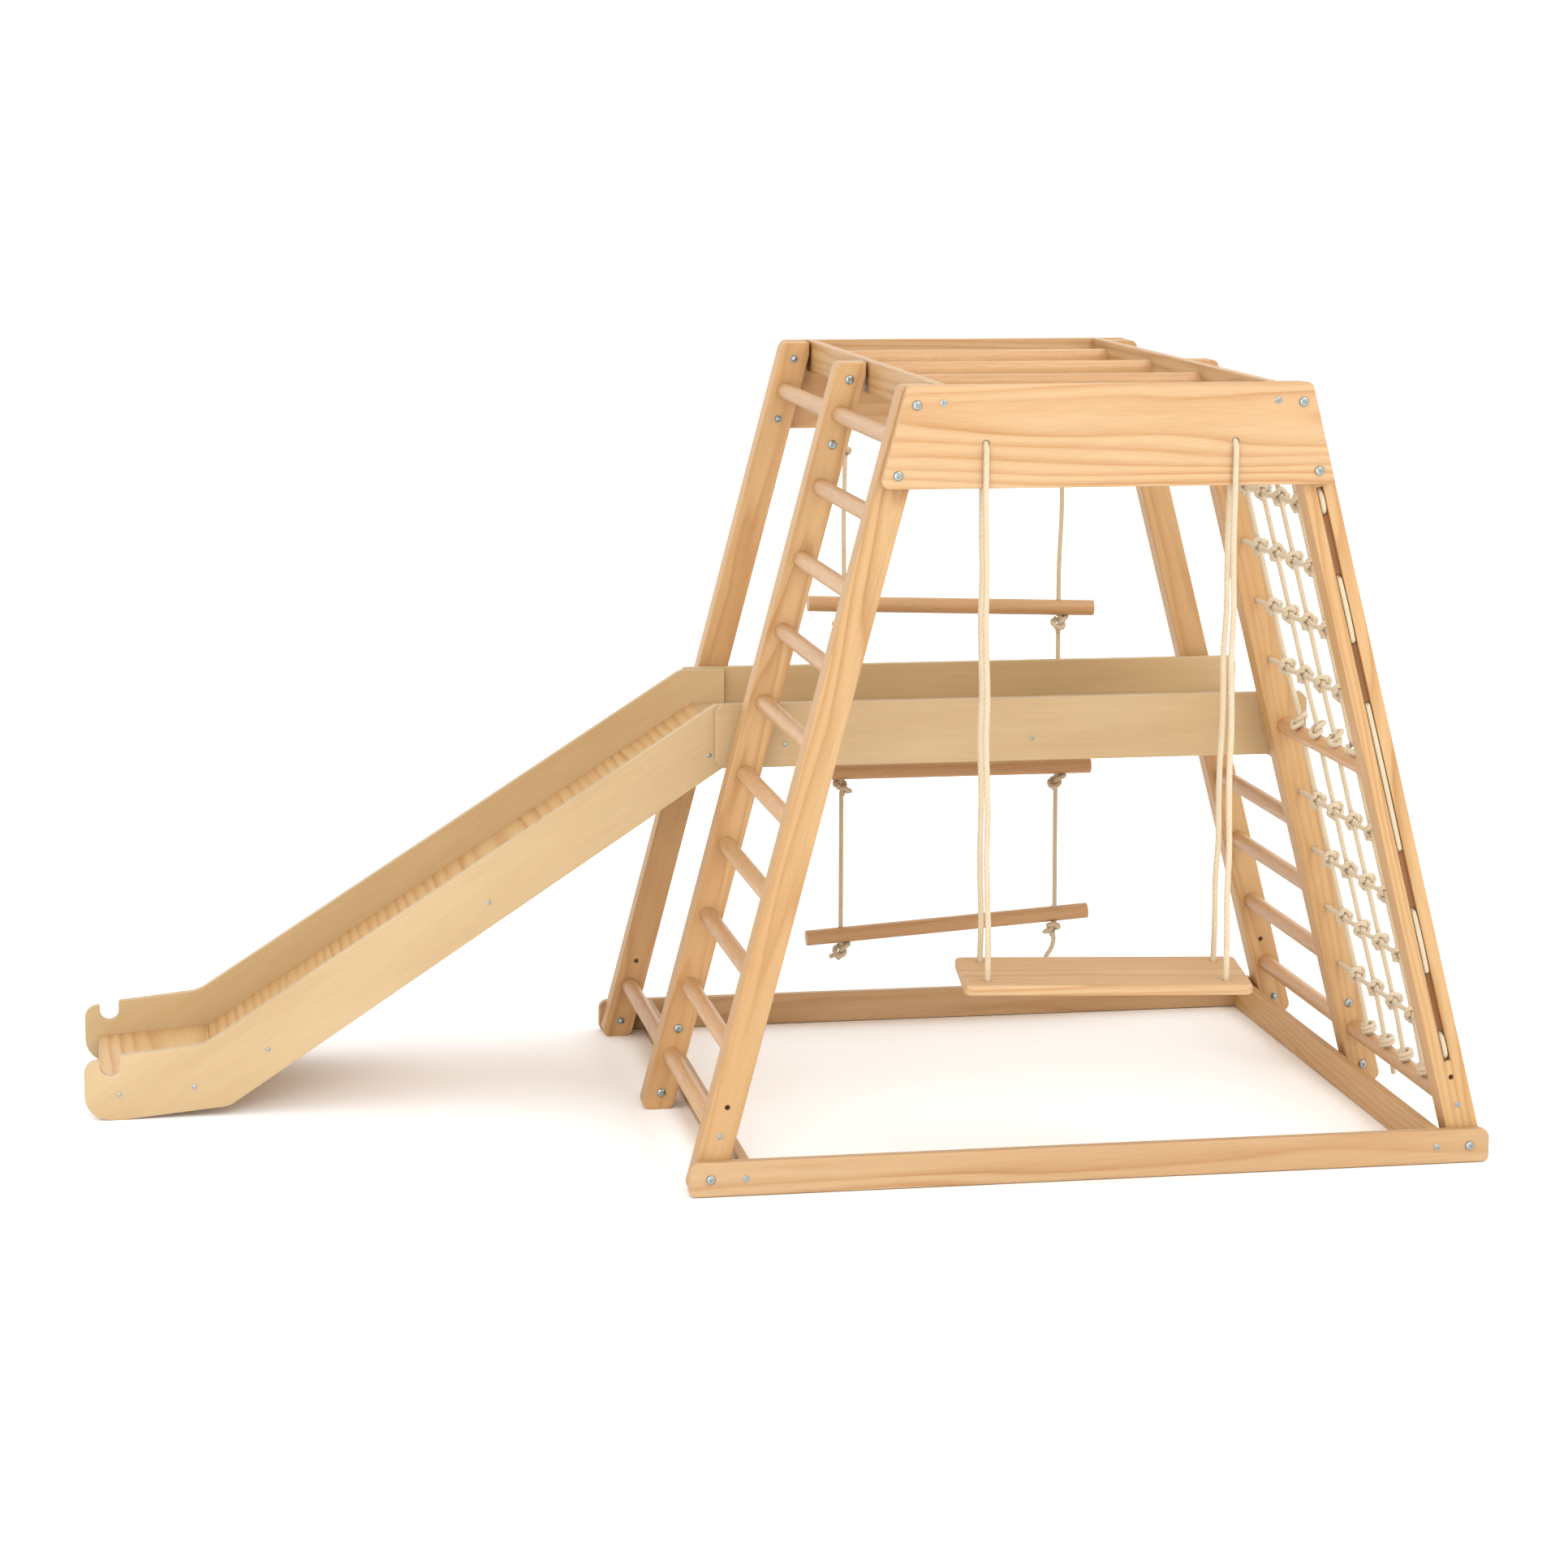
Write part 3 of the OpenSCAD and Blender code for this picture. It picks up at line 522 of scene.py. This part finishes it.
# Swing: each rope is one loop, over the beam and along a groove under the seat.
SWING_Y = -BEAM_T / 2
SWING_X = 206.5 * MM
SWING_D = 10 * MM
SEAT_HOLE = (195 * MM, 70 * MM)
SEAT_SHIFT = 4 * MM
SEAT_GROOVE_Z = seat_low.z + 3.7 * MM
SWING_OFFSET = SWING_D / 2 + BEAM_T / 2 + ROPE_CLEAR
STRAND_SPANS = 12
STRAND_WAVE = 1.2 * MM


def seat_point(x, y, z):
    """A point given from the middle of the turned seat, and from the floor."""
    c, s = math.cos(SEAT_TWIST), math.sin(SEAT_TWIST)
    return tower(SEAT_SHIFT + x * c + y * s, SWING_Y - x * s + y * c, z)


def swing_strand(side, face):
    """From the beam's lower edge down through the seat, then along its groove to the middle."""
    x, y = side * SEAT_HOLE[0], face * SEAT_HOLE[1]
    top = tower(side * SWING_X, SWING_Y + face * SWING_OFFSET, BEAM_LOW_Z - 14 * MM)
    mouth = seat_point(x, y, seat_high.z + 12 * MM)
    run = [top.lerp(mouth, k / STRAND_SPANS) for k in range(STRAND_SPANS + 1)]
    for k in range(1, STRAND_SPANS):
        run[k] += Vector((math.sin(4.2 * k + side), math.cos(3.1 * k + face), 0)) * STRAND_WAVE
    turn = [
        seat_point(x, y, seat_low.z + 11 * MM),
        seat_point(x, y - 1.5 * MM * face, SEAT_GROOVE_Z + 1.8 * MM),
        seat_point(x, y - 6 * MM * face, SEAT_GROOVE_Z),
        seat_point(x, y - 20 * MM * face, SEAT_GROOVE_Z),
        seat_point(x, 0, SEAT_GROOVE_Z),
    ]
    return [*run, *turn]


def make_swing_ropes():
    for label, side in (("left", -1), ("right", 1)):
        over = through_beam(side * SWING_X, SWING_Y, SWING_OFFSET)
        route = [*reversed(swing_strand(side, -1)), *over, *swing_strand(side, 1)]
        piece = rope(f"swing_rope_{label}", [route], SWING_D)
        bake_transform(piece)
        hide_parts("swing_ropes", "beam_loops")


make_swing_ropes()

# Rope ladder: a doubled rope through the back beam, then one rope with a knot under each rung.
LADDER_X = 212 * MM
LADDER_RUNG_Z = (810 * MM, 492 * MM, 185 * MM)
LADDER_TILT = tuple(math.radians(a) for a in (1.9, 0, -3.8))
LADDER_TOP_KNOT = 1112 * MM
LADDER_KNOT_R = 11 * MM
LADDER_KNOT_DROP = 2 * MM
LADDER_BODIES = ("ladder_upper", "ladder_middle", "ladder_lower")


def ladder_knot(i, side):
    """The middle of the knot under rung i; rung 0 is the highest."""
    z = LADDER_RUNG_Z[i] - side * LADDER_X * math.tan(LADDER_TILT[i]) - RUNG_R - LADDER_KNOT_R
    return tower(side * LADDER_X, LADDER_Y, z - LADDER_KNOT_DROP)


def ladder_coil(middle, turn):
    """The points of a knot in the ladder's rope."""
    return knot_points(middle, -Z_AXIS, LADDER_D * KNOT_SQUEEZE, turn)


def upper_ladder_rope(label, side):
    """A loop through the beam, its two strands' knot, and one rope down to the top rung's knot."""
    x = side * LADDER_X
    offset = BEAM_T / 2 + LADDER_D / 2
    top_knot = tower(x, LADDER_Y, LADDER_TOP_KNOT)
    loop = through_beam(x, LADDER_Y, offset + ROPE_CLEAR)
    coil = ladder_coil(top_knot, 0.9 * side)
    lower = ladder_coil(ladder_knot(0, side), 2.2 * side)
    main = [
        *reversed(loop), tower(x, LADDER_Y - 9 * MM, BEAM_LOW_Z - 8 * MM), *coil,
        coil[-1].lerp(lower[0], 0.35) + Vector((2 * MM * side, 1 * MM, 0)),
        coil[-1].lerp(lower[0], 0.7) - Vector((1 * MM, 0, 0)), *lower,
    ]
    second = [
        tower(x, LADDER_Y + offset, BEAM_LOW_Z + 22 * MM),
        tower(x, LADDER_Y + 12.5 * MM, BEAM_LOW_Z - 6 * MM),
        top_knot + Vector((0, 4 * MM, 8 * MM)), top_knot,
    ]
    upper = rope(f"ladder_rope_upper_{label}", [main, second], LADDER_D)
    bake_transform(upper)
    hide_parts("ladder_ropes_upper", "beam_loops")


def lower_ladder_rope(label, side, i, name):
    """From the knot under the rung above rung i, to the knot under rung i."""
    above, below, node = LADDER_BODIES[i - 1], LADDER_BODIES[i], f"ladder_ropes_{name}"
    knot = ladder_knot(i, side)
    start = ladder_knot(i - 1, side) - Z_AXIS * (10 * MM)
    coil = ladder_coil(knot, 1.7 * i + side)
    stub = []
    if i == 2 and side < 0:
        stub = [knot + Vector((-9 * MM, 0, -12 * MM)), knot + Vector((-21 * MM, 1 * MM, -15 * MM))]
    piece = rope(f"ladder_rope_{name}_{label}", [[start, start + (coil[0] - start) * 0.5, *coil, *stub]],
                 LADDER_D)
    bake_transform(piece)
    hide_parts(node)


def make_ladder_ropes():
    for label, side in (("left", -1), ("right", 1)):
        upper_ladder_rope(label, side)
        for i, name in enumerate(("middle", "lower"), start=1):
            lower_ladder_rope(label, side, i, name)


make_ladder_ropes()

# Net: the uprights pass through three rungs, and are knotted above the upper two and coiled above
# the lowest. The rows are knotted to the uprights and laced down the front leg.
NET_D = 9 * MM
NET_FIRST = 121 * MM
NET_STEP = 107 * MM
NET_TOP_Z = 1142 * MM
NET_END_Z = 180 * MM
NET_ROWS = [*(MID_RUNG_Z + NET_FIRST + k * NET_STEP for k in (3, 2, 1, 0)),
            *(MID_RUNG_Z - NET_FIRST - k * NET_STEP for k in range(4))]
NET_COLUMNS = [LEG_T + (BAY - LEG_T) * k / 5 for k in range(1, 5)]
NET_TAIL_COLUMN = 2
NET_LACED_Y = 4.8 * MM
RUNG_KNOT_SQUEEZE = 0.84
PLANE_DOWN = Vector((LEG_SLOPE, 0, -1)).normalized()
PLANE_OUT = Vector((1, 0, LEG_SLOPE)).normalized()


def net_point(y, z):
    return tower(leg_x(z), y, z)


def rung_knot(y, z, turn):
    """An overhand knot in an upright, resting on the rung at height z."""
    thick = NET_D * RUNG_KNOT_SQUEEZE
    centre = net_point(y, z) - PLANE_DOWN * (RUNG_R + KNOT_LOW * thick + 0.4 * MM)
    return knot_points(centre, PLANE_DOWN, thick, turn)


def rung_coil(y, z):
    """Two turns of an upright round itself, resting on the rung at height z."""
    steps, turns, tall, oval = 36, 2.3, 1.7, 1.15
    slim, widening = 0.35, 0.22
    low = net_point(y, z) - PLANE_DOWN * (RUNG_R + NET_D * 0.55)
    points = []
    for k in range(steps + 1):
        angle = math.radians(200) - k / steps * turns * 2 * math.pi
        radial = PLANE_OUT * math.cos(angle) * oval + Y_AXIS * math.sin(angle)
        swell = NET_D * min(1.0, slim + widening * k, slim + widening * (steps - k))
        points.append(low - PLANE_DOWN * NET_D * tall * (1 - k / steps) + radial * swell)
    return points


def net_column(y, index):
    """One upright, from its knot on the top rung to its end in or under the bottom one."""
    waver = 1 * MM
    rows = [net_point(y + waver * math.sin(5 * k + index), z) for k, z in enumerate(NET_ROWS)]
    middle, low = net_point(y, MID_RUNG_Z), net_point(y, RUNG_LOW_Z)
    through_middle = [middle - PLANE_DOWN * (8 * MM), middle + PLANE_DOWN * (18 * MM)]
    end = [low]
    if index == NET_TAIL_COLUMN:
        end = [low + PLANE_DOWN * (16 * MM), low + PLANE_DOWN * (36 * MM) - X_AXIS * (1.5 * MM)]
    return [
        *rung_knot(y, TOP_RUNG_Z, 0.7 * index), net_point(y, TOP_RUNG_Z), *rows[:4],
        *rung_knot(y, MID_RUNG_Z, 1.9 + 0.5 * index), *through_middle, *rows[4:],
        *rung_coil(y, RUNG_LOW_Z), low - PLANE_DOWN * (12 * MM), *end,
    ]


def net_row(z, index):
    """One row from inside the middle leg, knotted to every upright, to the front leg's groove."""
    points = [net_point(BAY + 16 * MM, z), net_point(BAY - 12 * MM, z)]
    for k, y in enumerate(reversed(NET_COLUMNS)):
        turn = 1.2 + 0.35 * math.sin(3 * index + 2 * k)
        points += knot_points(net_point(y, z), -Y_AXIS, NET_D * KNOT_SQUEEZE, turn)
    return [*points, net_point(LEG_T, z), net_point(NET_LACED_Y + 10 * MM, z)]


def bight(upper_z, lower_z):
    """The lacing in the front leg's groove, from the hole at one height to the hole at another."""
    corner = PLANE_DOWN * (7 * MM)
    inside, turn = NET_LACED_Y + 3 * MM, 3 * MM
    a, b = net_point(NET_LACED_Y, upper_z), net_point(NET_LACED_Y, lower_z)
    return [
        net_point(inside, upper_z - turn), a + corner, a.lerp(b, 0.5) - Y_AXIS * (2 * MM),
        b - corner, net_point(inside, lower_z + turn),
    ]


def make_net():
    uprights = rope("net_uprights", [net_column(y, k) for k, y in enumerate(NET_COLUMNS)], NET_D)
    rows = [net_row(z, k) for k, z in enumerate(NET_ROWS)]
    shallow, deep = 12 * MM, 30 * MM
    routes = [[net_point(deep, NET_TOP_Z), net_point(shallow, NET_TOP_Z),
               *bight(NET_TOP_Z, NET_ROWS[0]), *reversed(rows[0])]]
    for a, b in ((1, 2), (3, 4), (5, 6)):
        routes.append([*rows[a], *bight(NET_ROWS[a], NET_ROWS[b]), *reversed(rows[b])])
    routes.append([*rows[7], *bight(NET_ROWS[7], NET_END_Z),
                   net_point(shallow, NET_END_Z), net_point(deep, NET_END_Z)])
    crossing = rope("net_rows", routes, NET_D)
    for piece in (uprights, crossing):
        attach(piece, "frame")
        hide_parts("rope_net")


make_net()

# ---- Timber ------------------------------------------------------------------------------------

WELD = 2e-6
FLAT_ANGLE = math.radians(0.4)
SMOOTH_ANGLE = math.radians(38)
EASE_ANGLE = math.radians(40)
HOLE_RIM = 45 * MM
# Painted shade for the floor of the net's groove in the right front leg.
GROOVE_SHADE = (0.62, 0.50, 0.42, 1)


def rim_groups(edges):
    """Connected groups of edges."""
    left = set(edges)
    while left:
        group, queue = set(), [left.pop()]
        while queue:
            edge = queue.pop()
            group.add(edge)
            for vertex in edge.verts:
                for other in vertex.link_edges:
                    if other in left:
                        left.discard(other)
                        queue.append(other)
        yield group


def span_of(edges):
    """The longest way across the box around the edges."""
    points = np.array([list(v.co) for e in edges for v in e.verts])
    return float(np.linalg.norm(points.max(0) - points.min(0)))


def eased_mesh(node, width, ease_rims):
    """A copy of a CAD node's mesh with its outer edges rounded over, holes' rims only if asked."""
    bm = bmesh.new()
    bm.from_mesh(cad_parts[node].data)
    bmesh.ops.remove_doubles(bm, verts=bm.verts, dist=WELD)
    bmesh.ops.dissolve_limit(bm, angle_limit=FLAT_ANGLE, verts=bm.verts, edges=bm.edges)
    sharp = [e for e in bm.edges if e.is_manifold and e.calc_face_angle_signed(0) > EASE_ANGLE]
    groups = [group for group in rim_groups(sharp) if ease_rims or span_of(group) > HOLE_RIM]
    kept = [e for group in groups for e in group]
    bmesh.ops.bevel(bm, geom=kept, offset=width, segments=3, profile=0.5, affect="EDGES",
                    clamp_overlap=False)
    mesh = bpy.data.meshes.new(node)
    bm.to_mesh(mesh)
    bm.free()
    mesh.shade_smooth()
    mesh.set_sharp_from_angle(angle=SMOOTH_ANGLE)
    return mesh


def set_grain(mesh, along, through, pith, tone, ply_t=None):
    """Stores each point in the board's own directions: along the grain, across and through it.

    The grain's line drifts by up to slant through the board, and each board is cut from another
    place along the tree.
    """
    slant, far = 0.02, 20
    co = np.array([list(v.co) for v in mesh.vertices])
    along = np.array(along.normalized())
    through = np.array(through.normalized())
    across = np.cross(through, along)
    centre = (co.max(0) + co.min(0)) / 2
    local = co - centre
    values = np.stack([local @ along, local @ across, local @ through], 1)
    depth = values[:, 2].copy()
    values[:, 2] += values[:, 0] * dice.uniform(-slant, slant)
    values += [dice.uniform(-far, far), pith[0], pith[1]]
    mesh.attributes.new("grain", "FLOAT_VECTOR", "POINT").data.foreach_set("vector", values.ravel())
    shade = mesh.attributes.new("tone", "FLOAT_COLOR", "POINT")
    shade.data.foreach_set("color", np.tile([tone, tone * 0.995, tone * 0.985, 1.0], len(co)))
    if ply_t:
        ply = mesh.attributes.new("ply", "FLOAT", "POINT")
        ply.data.foreach_set("value", (depth / ply_t + 0.5).astype(np.float32))


def timber(node, material, slot, along, through, body="frame", ease=2.2 * MM, ease_rims=False,
           pith=None, ply_t=None, tone=None):
    """Stands a wooden piece with eased edges and its own grain in for a CAD node."""
    mesh = eased_mesh(node, ease, ease_rims)
    pith = pith or (dice.uniform(-0.05, 0.05), dice.choice((-1, 1)) * dice.uniform(0.05, 0.11))
    set_grain(mesh, along, through, pith, tone or dice.uniform(0.93, 1.04), ply_t)
    piece = make_object(node + "_wood", mesh, material, body, slot)
    even = piece.modifiers.new("even_shading", "WEIGHTED_NORMAL")
    even.keep_sharp = True
    even.weight = 80
    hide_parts(node)
    return piece


def paint_groove_shade(mesh):
    """Painted shade: the routed floor of the net's groove, a recess, is coloured darker than the planed
    faces; the floor is also rough.
    """
    shallow, deep, half_width = 4 * MM, 12 * MM, 12 * MM
    for vertex, tone in zip(mesh.vertices, mesh.attributes["tone"].data):
        depth = vertex.co.y - FRONT_Y
        aside = abs(vertex.co.x - TOWER_X - leg_x(vertex.co.z))
        if shallow < depth < deep and aside < half_width:
            tone.color = GROOVE_SHADE


def make_frame_timber():
    for label, side in (("left", -1), ("right", 1)):
        lean = Vector((-side * LEG_SLOPE, 0, 1))
        for row in ("front", "middle", "back"):
            leg = timber(f"{label}_{row}_leg", PINE_FINE, "pine", lean, Y_AXIS)
            # The net's groove in this leg gets painted shade on its floor.
            if label == "right" and row == "front":
                paint_groove_shade(leg.data)
        timber(f"{label}_cross_rail", PINE_FINE, "pine", Y_AXIS, X_AXIS)
        timber(f"{label}_top_plate", PINE_FINE, "pine", Y_AXIS, X_AXIS, tone=0.95)
    timber("front_beam", PINE, "pine", X_AXIS, Y_AXIS, pith=(0.03, 0.14), tone=1.04)
    timber("back_beam", PINE, "pine", X_AXIS, Y_AXIS, pith=(-0.02, 0.12))
    timber("front_rail", PINE, "pine", X_AXIS, Y_AXIS, pith=(0.01, 0.07))
    timber("back_rail", PINE, "pine", X_AXIS, Y_AXIS, pith=(-0.01, 0.07))


def make_dowels():
    ease = 1.5 * MM
    counts = (("left_front", 10), ("left_back", 3), ("right_front", 3), ("right_back", 6))
    for label, count in counts:
        for k in range(1, count + 1):
            timber(f"{label}_rung_{k}", BEECH, "beech", Y_AXIS, Z_AXIS, ease=ease, ease_rims=True)
    for k in range(1, 5):
        timber(f"monkey_bar_{k}", BEECH, "beech", X_AXIS, Z_AXIS, ease=ease, ease_rims=True, tone=1.06)
    for k, (tilt, body) in enumerate(zip(LADDER_TILT, LADDER_BODIES), start=1):
        along = Vector((math.cos(tilt), 0, -math.sin(tilt)))
        timber(f"ladder_rung_{k}", BEECH, "beech", along, Y_AXIS, body, ease=ease, tone=0.98)


def make_boards():
    side_look = {"ease": 1.6 * MM, "ply_t": BOARD_T, "tone": 1.0}
    bed_look = {"ease": 1.2 * MM, "tone": 0.98}
    slope, square = Vector((1, 0, SLIDE_RISE)), Vector((-SLIDE_RISE, 0, 1))
    for side in ("front", "back"):
        timber(f"platform_{side}_board", PLYWOOD, "plywood", X_AXIS, Y_AXIS, **side_look)
        timber(f"slide_{side}_side", PLYWOOD, "plywood", slope, Y_AXIS, **side_look)
    timber("platform_deck", PLYWOOD, "plywood", Y_AXIS, Z_AXIS, ease=1 * MM, ply_t=BOARD_T, tone=0.98)
    timber("slide_bed", PINE_BOLD, "pine", Y_AXIS, square, pith=(0.1, 0.09), **bed_look)
    timber("slide_runout_bed", PINE_BOLD, "pine", Y_AXIS, Z_AXIS, pith=(0.05, 0.07), **bed_look)
    along = Vector((math.cos(SEAT_TWIST), -math.sin(SEAT_TWIST), 0))
    timber("swing_seat", PINE, "pine", along, Z_AXIS, "swing", ease=4 * MM, pith=(0.02, 0.08), tone=1.0)


make_frame_timber()
make_dowels()
make_boards()

# ---- Fasteners ---------------------------------------------------------------------------------

ROUND_SIDES = 24
HEAD_RIM = 0.8 * MM
FACET_ANGLE = math.radians(40)
NUT_LONGEST = 10 * MM
NUT = [(r * MM, h * MM) for r, h in (
    (7.4, 0), (7.4, 0.8), (5.6, 0.9), (5.6, 3.4), (5.0, 5.2), (3.4, 6.6), (1.2, 7.0))]
NUT_HEX = (2, 3)
BOLT_HEAD_R, BOLT_HEAD_RISE, BOLT_SHANK_R = 7.9 * MM, 4 * MM, 3.9 * MM
BOLT_SOCKET_R, BOLT_SOCKET_DEEP = 2.6 * MM, 2.4 * MM
SCREW_HEAD_RISE, SCREW_SHANK_R, SCREW_SOCKET_DEEP = 1.5 * MM, 1.9 * MM, 1.2 * MM


def loose_parts(node):
    """Each separate solid of a CAD node, as an array of its points."""
    bm = bmesh.new()
    bm.from_mesh(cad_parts[node].data)
    bmesh.ops.remove_doubles(bm, verts=bm.verts, dist=WELD)
    left = set(bm.verts)
    parts = []
    while left:
        group, queue = [], [left.pop()]
        while queue:
            vertex = queue.pop()
            group.append(list(vertex.co))
            for edge in vertex.link_edges:
                other = edge.other_vert(vertex)
                if other in left:
                    left.discard(other)
                    queue.append(other)
        parts.append(np.array(group))
    bm.free()
    return sorted(parts, key=lambda p: tuple(p.mean(0).round(5)))


def turned(bm, base, out, profile, hexed=()):
    """Adds a turned solid to bm, from (radius, height) pairs. The rings in hexed are hexagons."""
    u, v = frame_for(out)
    rings = []
    for index, (radius, height) in enumerate(profile):
        ring = []
        for k in range(ROUND_SIDES):
            angle = 2 * math.pi * k / ROUND_SIDES
            reach = radius
            if index in hexed:
                reach = radius / math.cos((angle % (math.pi / 3)) - math.pi / 6)
            aside = (u * math.cos(angle) + v * math.sin(angle)) * reach
            ring.append(bm.verts.new(base + out * height + aside))
        rings.append(ring)
    for low, high in zip(rings, rings[1:]):
        for k in range(ROUND_SIDES):
            j = (k + 1) % ROUND_SIDES
            bm.faces.new((low[k], low[j], high[j], high[k]))
    bm.faces.new(list(reversed(rings[0])))
    bm.faces.new(rings[-1])


def dome(radius, rise, socket, deep):
    """Profile of a domed head with a hexagonal socket in it."""
    flat = socket * 1.35
    first, sweep, steps = 8, 82, 6
    curve = []
    for k in range(steps + 1):
        angle = math.radians(first + sweep * k / steps)
        height = HEAD_RIM + (rise - HEAD_RIM) * math.sin(angle)
        curve.append((flat + (radius - flat) * math.cos(angle), height))
    return [(radius * 0.98, 0), (radius, HEAD_RIM), *curve, (socket, rise), (socket, rise - deep)]


def head_of(points):
    """Where a fastener's head sits, the way it faces, its radius, and the fastener's length."""
    low, high = points.min(0), points.max(0)
    centre = Vector((low + high) / 2)
    reach = np.hypot(points[:, 0] - centre.x, points[:, 2] - centre.z)
    wide = float(reach.max())
    wide_y = float(points[reach > wide * 0.98][:, 1].mean())
    out = Y_AXIS if wide_y > centre.y else -Y_AXIS
    return Vector((centre.x, wide_y, centre.z)), out, wide, high[1] - low[1]


def socket_head(bm, base, out, head, shank_r, shank_length):
    """Adds a head with a hexagonal socket, and the shank behind it."""
    turned(bm, base, out, head, hexed=(len(head) - 2, len(head) - 1))
    turned(bm, base, -out, [(shank_r, 0), (shank_r, shank_length)])


def fastener_object(name, bm, node):
    bmesh.ops.recalc_face_normals(bm, faces=bm.faces)
    mesh = bpy.data.meshes.new(name)
    bm.to_mesh(mesh)
    bm.free()
    mesh.shade_smooth()
    mesh.set_sharp_from_angle(angle=FACET_ANGLE)
    piece = make_object(name, mesh, ZINC, "frame", "zinc")
    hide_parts(node)


def make_bolts():
    """The bolts and their domed nuts, which are the short solids of the node."""
    bm = bmesh.new()
    head = dome(BOLT_HEAD_R, BOLT_HEAD_RISE, BOLT_SOCKET_R, BOLT_SOCKET_DEEP)
    for points in loose_parts("frame_bolts"):
        base, out, _, length = head_of(points)
        if length < NUT_LONGEST:
            turned(bm, base, -out, NUT, NUT_HEX)
        else:
            socket_head(bm, base, out, head, BOLT_SHANK_R, length - 4.5 * MM)
    fastener_object("bolts_and_nuts", bm, "frame_bolts")


def make_screws():
    bm = bmesh.new()
    for points in loose_parts("frame_screws"):
        base, out, wide, length = head_of(points)
        head = dome(wide, SCREW_HEAD_RISE, wide * 0.36, SCREW_SOCKET_DEEP)
        socket_head(bm, base, out, head, SCREW_SHANK_R, 0.9 * length - 2 * MM)
    fastener_object("screws", bm, "frame_screws")


make_bolts()
make_screws()

# ---- Floor and light ---------------------------------------------------------------------------


FLOOR_HALF = 30.0
WORLD_STRENGTH = 1.17


def make_floor():
    """A plain white floor, far wider than the view."""
    s = Shader("floor", 0.85)
    place = s.own_space()
    cloud = s.noise(place, (0.6, 0.6, 0.6), 2.0)
    colour = s.ramp(cloud, [(0.3, (0.965, 0.965, 0.965)), (0.7, (0.98, 0.98, 0.98))])
    material = s.finish(colour)
    mesh = bpy.data.meshes.new("floor")
    corners = [(x * FLOOR_HALF, y * FLOOR_HALF, 0) for x, y in ((-1, -1), (1, -1), (1, 1), (-1, 1))]
    mesh.from_pydata(corners, [], [(0, 1, 2, 3)])
    floor = make_object("floor", mesh, material)


def soft_light(name, at, target, size, power, colour):
    """A round area light that faces the target."""
    data = bpy.data.lights.new(name, "AREA")
    data.shape = "DISK"
    data.size = size
    data.energy = power
    data.color = colour
    light = bpy.data.objects.new(name, data)
    light.location = at
    light.rotation_mode = "QUATERNION"
    light.rotation_quaternion = (Vector(target) - Vector(at)).to_track_quat("-Z", "Y")
    bpy.context.scene.collection.objects.link(light)


def make_light():
    world = bpy.data.worlds.new("studio")
    world.use_nodes = True
    sky = world.node_tree.nodes["Background"]
    sky.inputs["Color"].default_value = (1.0, 1.0, 1.0, 1)
    sky.inputs["Strength"].default_value = WORLD_STRENGTH
    bpy.context.scene.world = world
    middle = (TOWER_X, FRONT_Y + DEPTH / 2, 0.6)
    soft_light("key", (2.6, -4.0, 5.0), middle, size=3.0, power=75, colour=(1.0, 0.985, 0.96))
    soft_light("fill", (-2.2, -6.0, 1.9), middle, size=3.5, power=85, colour=(1.0, 0.98, 0.95))
    bpy.context.scene.view_settings.view_transform = "Standard"
    bpy.context.scene.view_settings.look = "Medium High Contrast"


make_floor()
make_light()
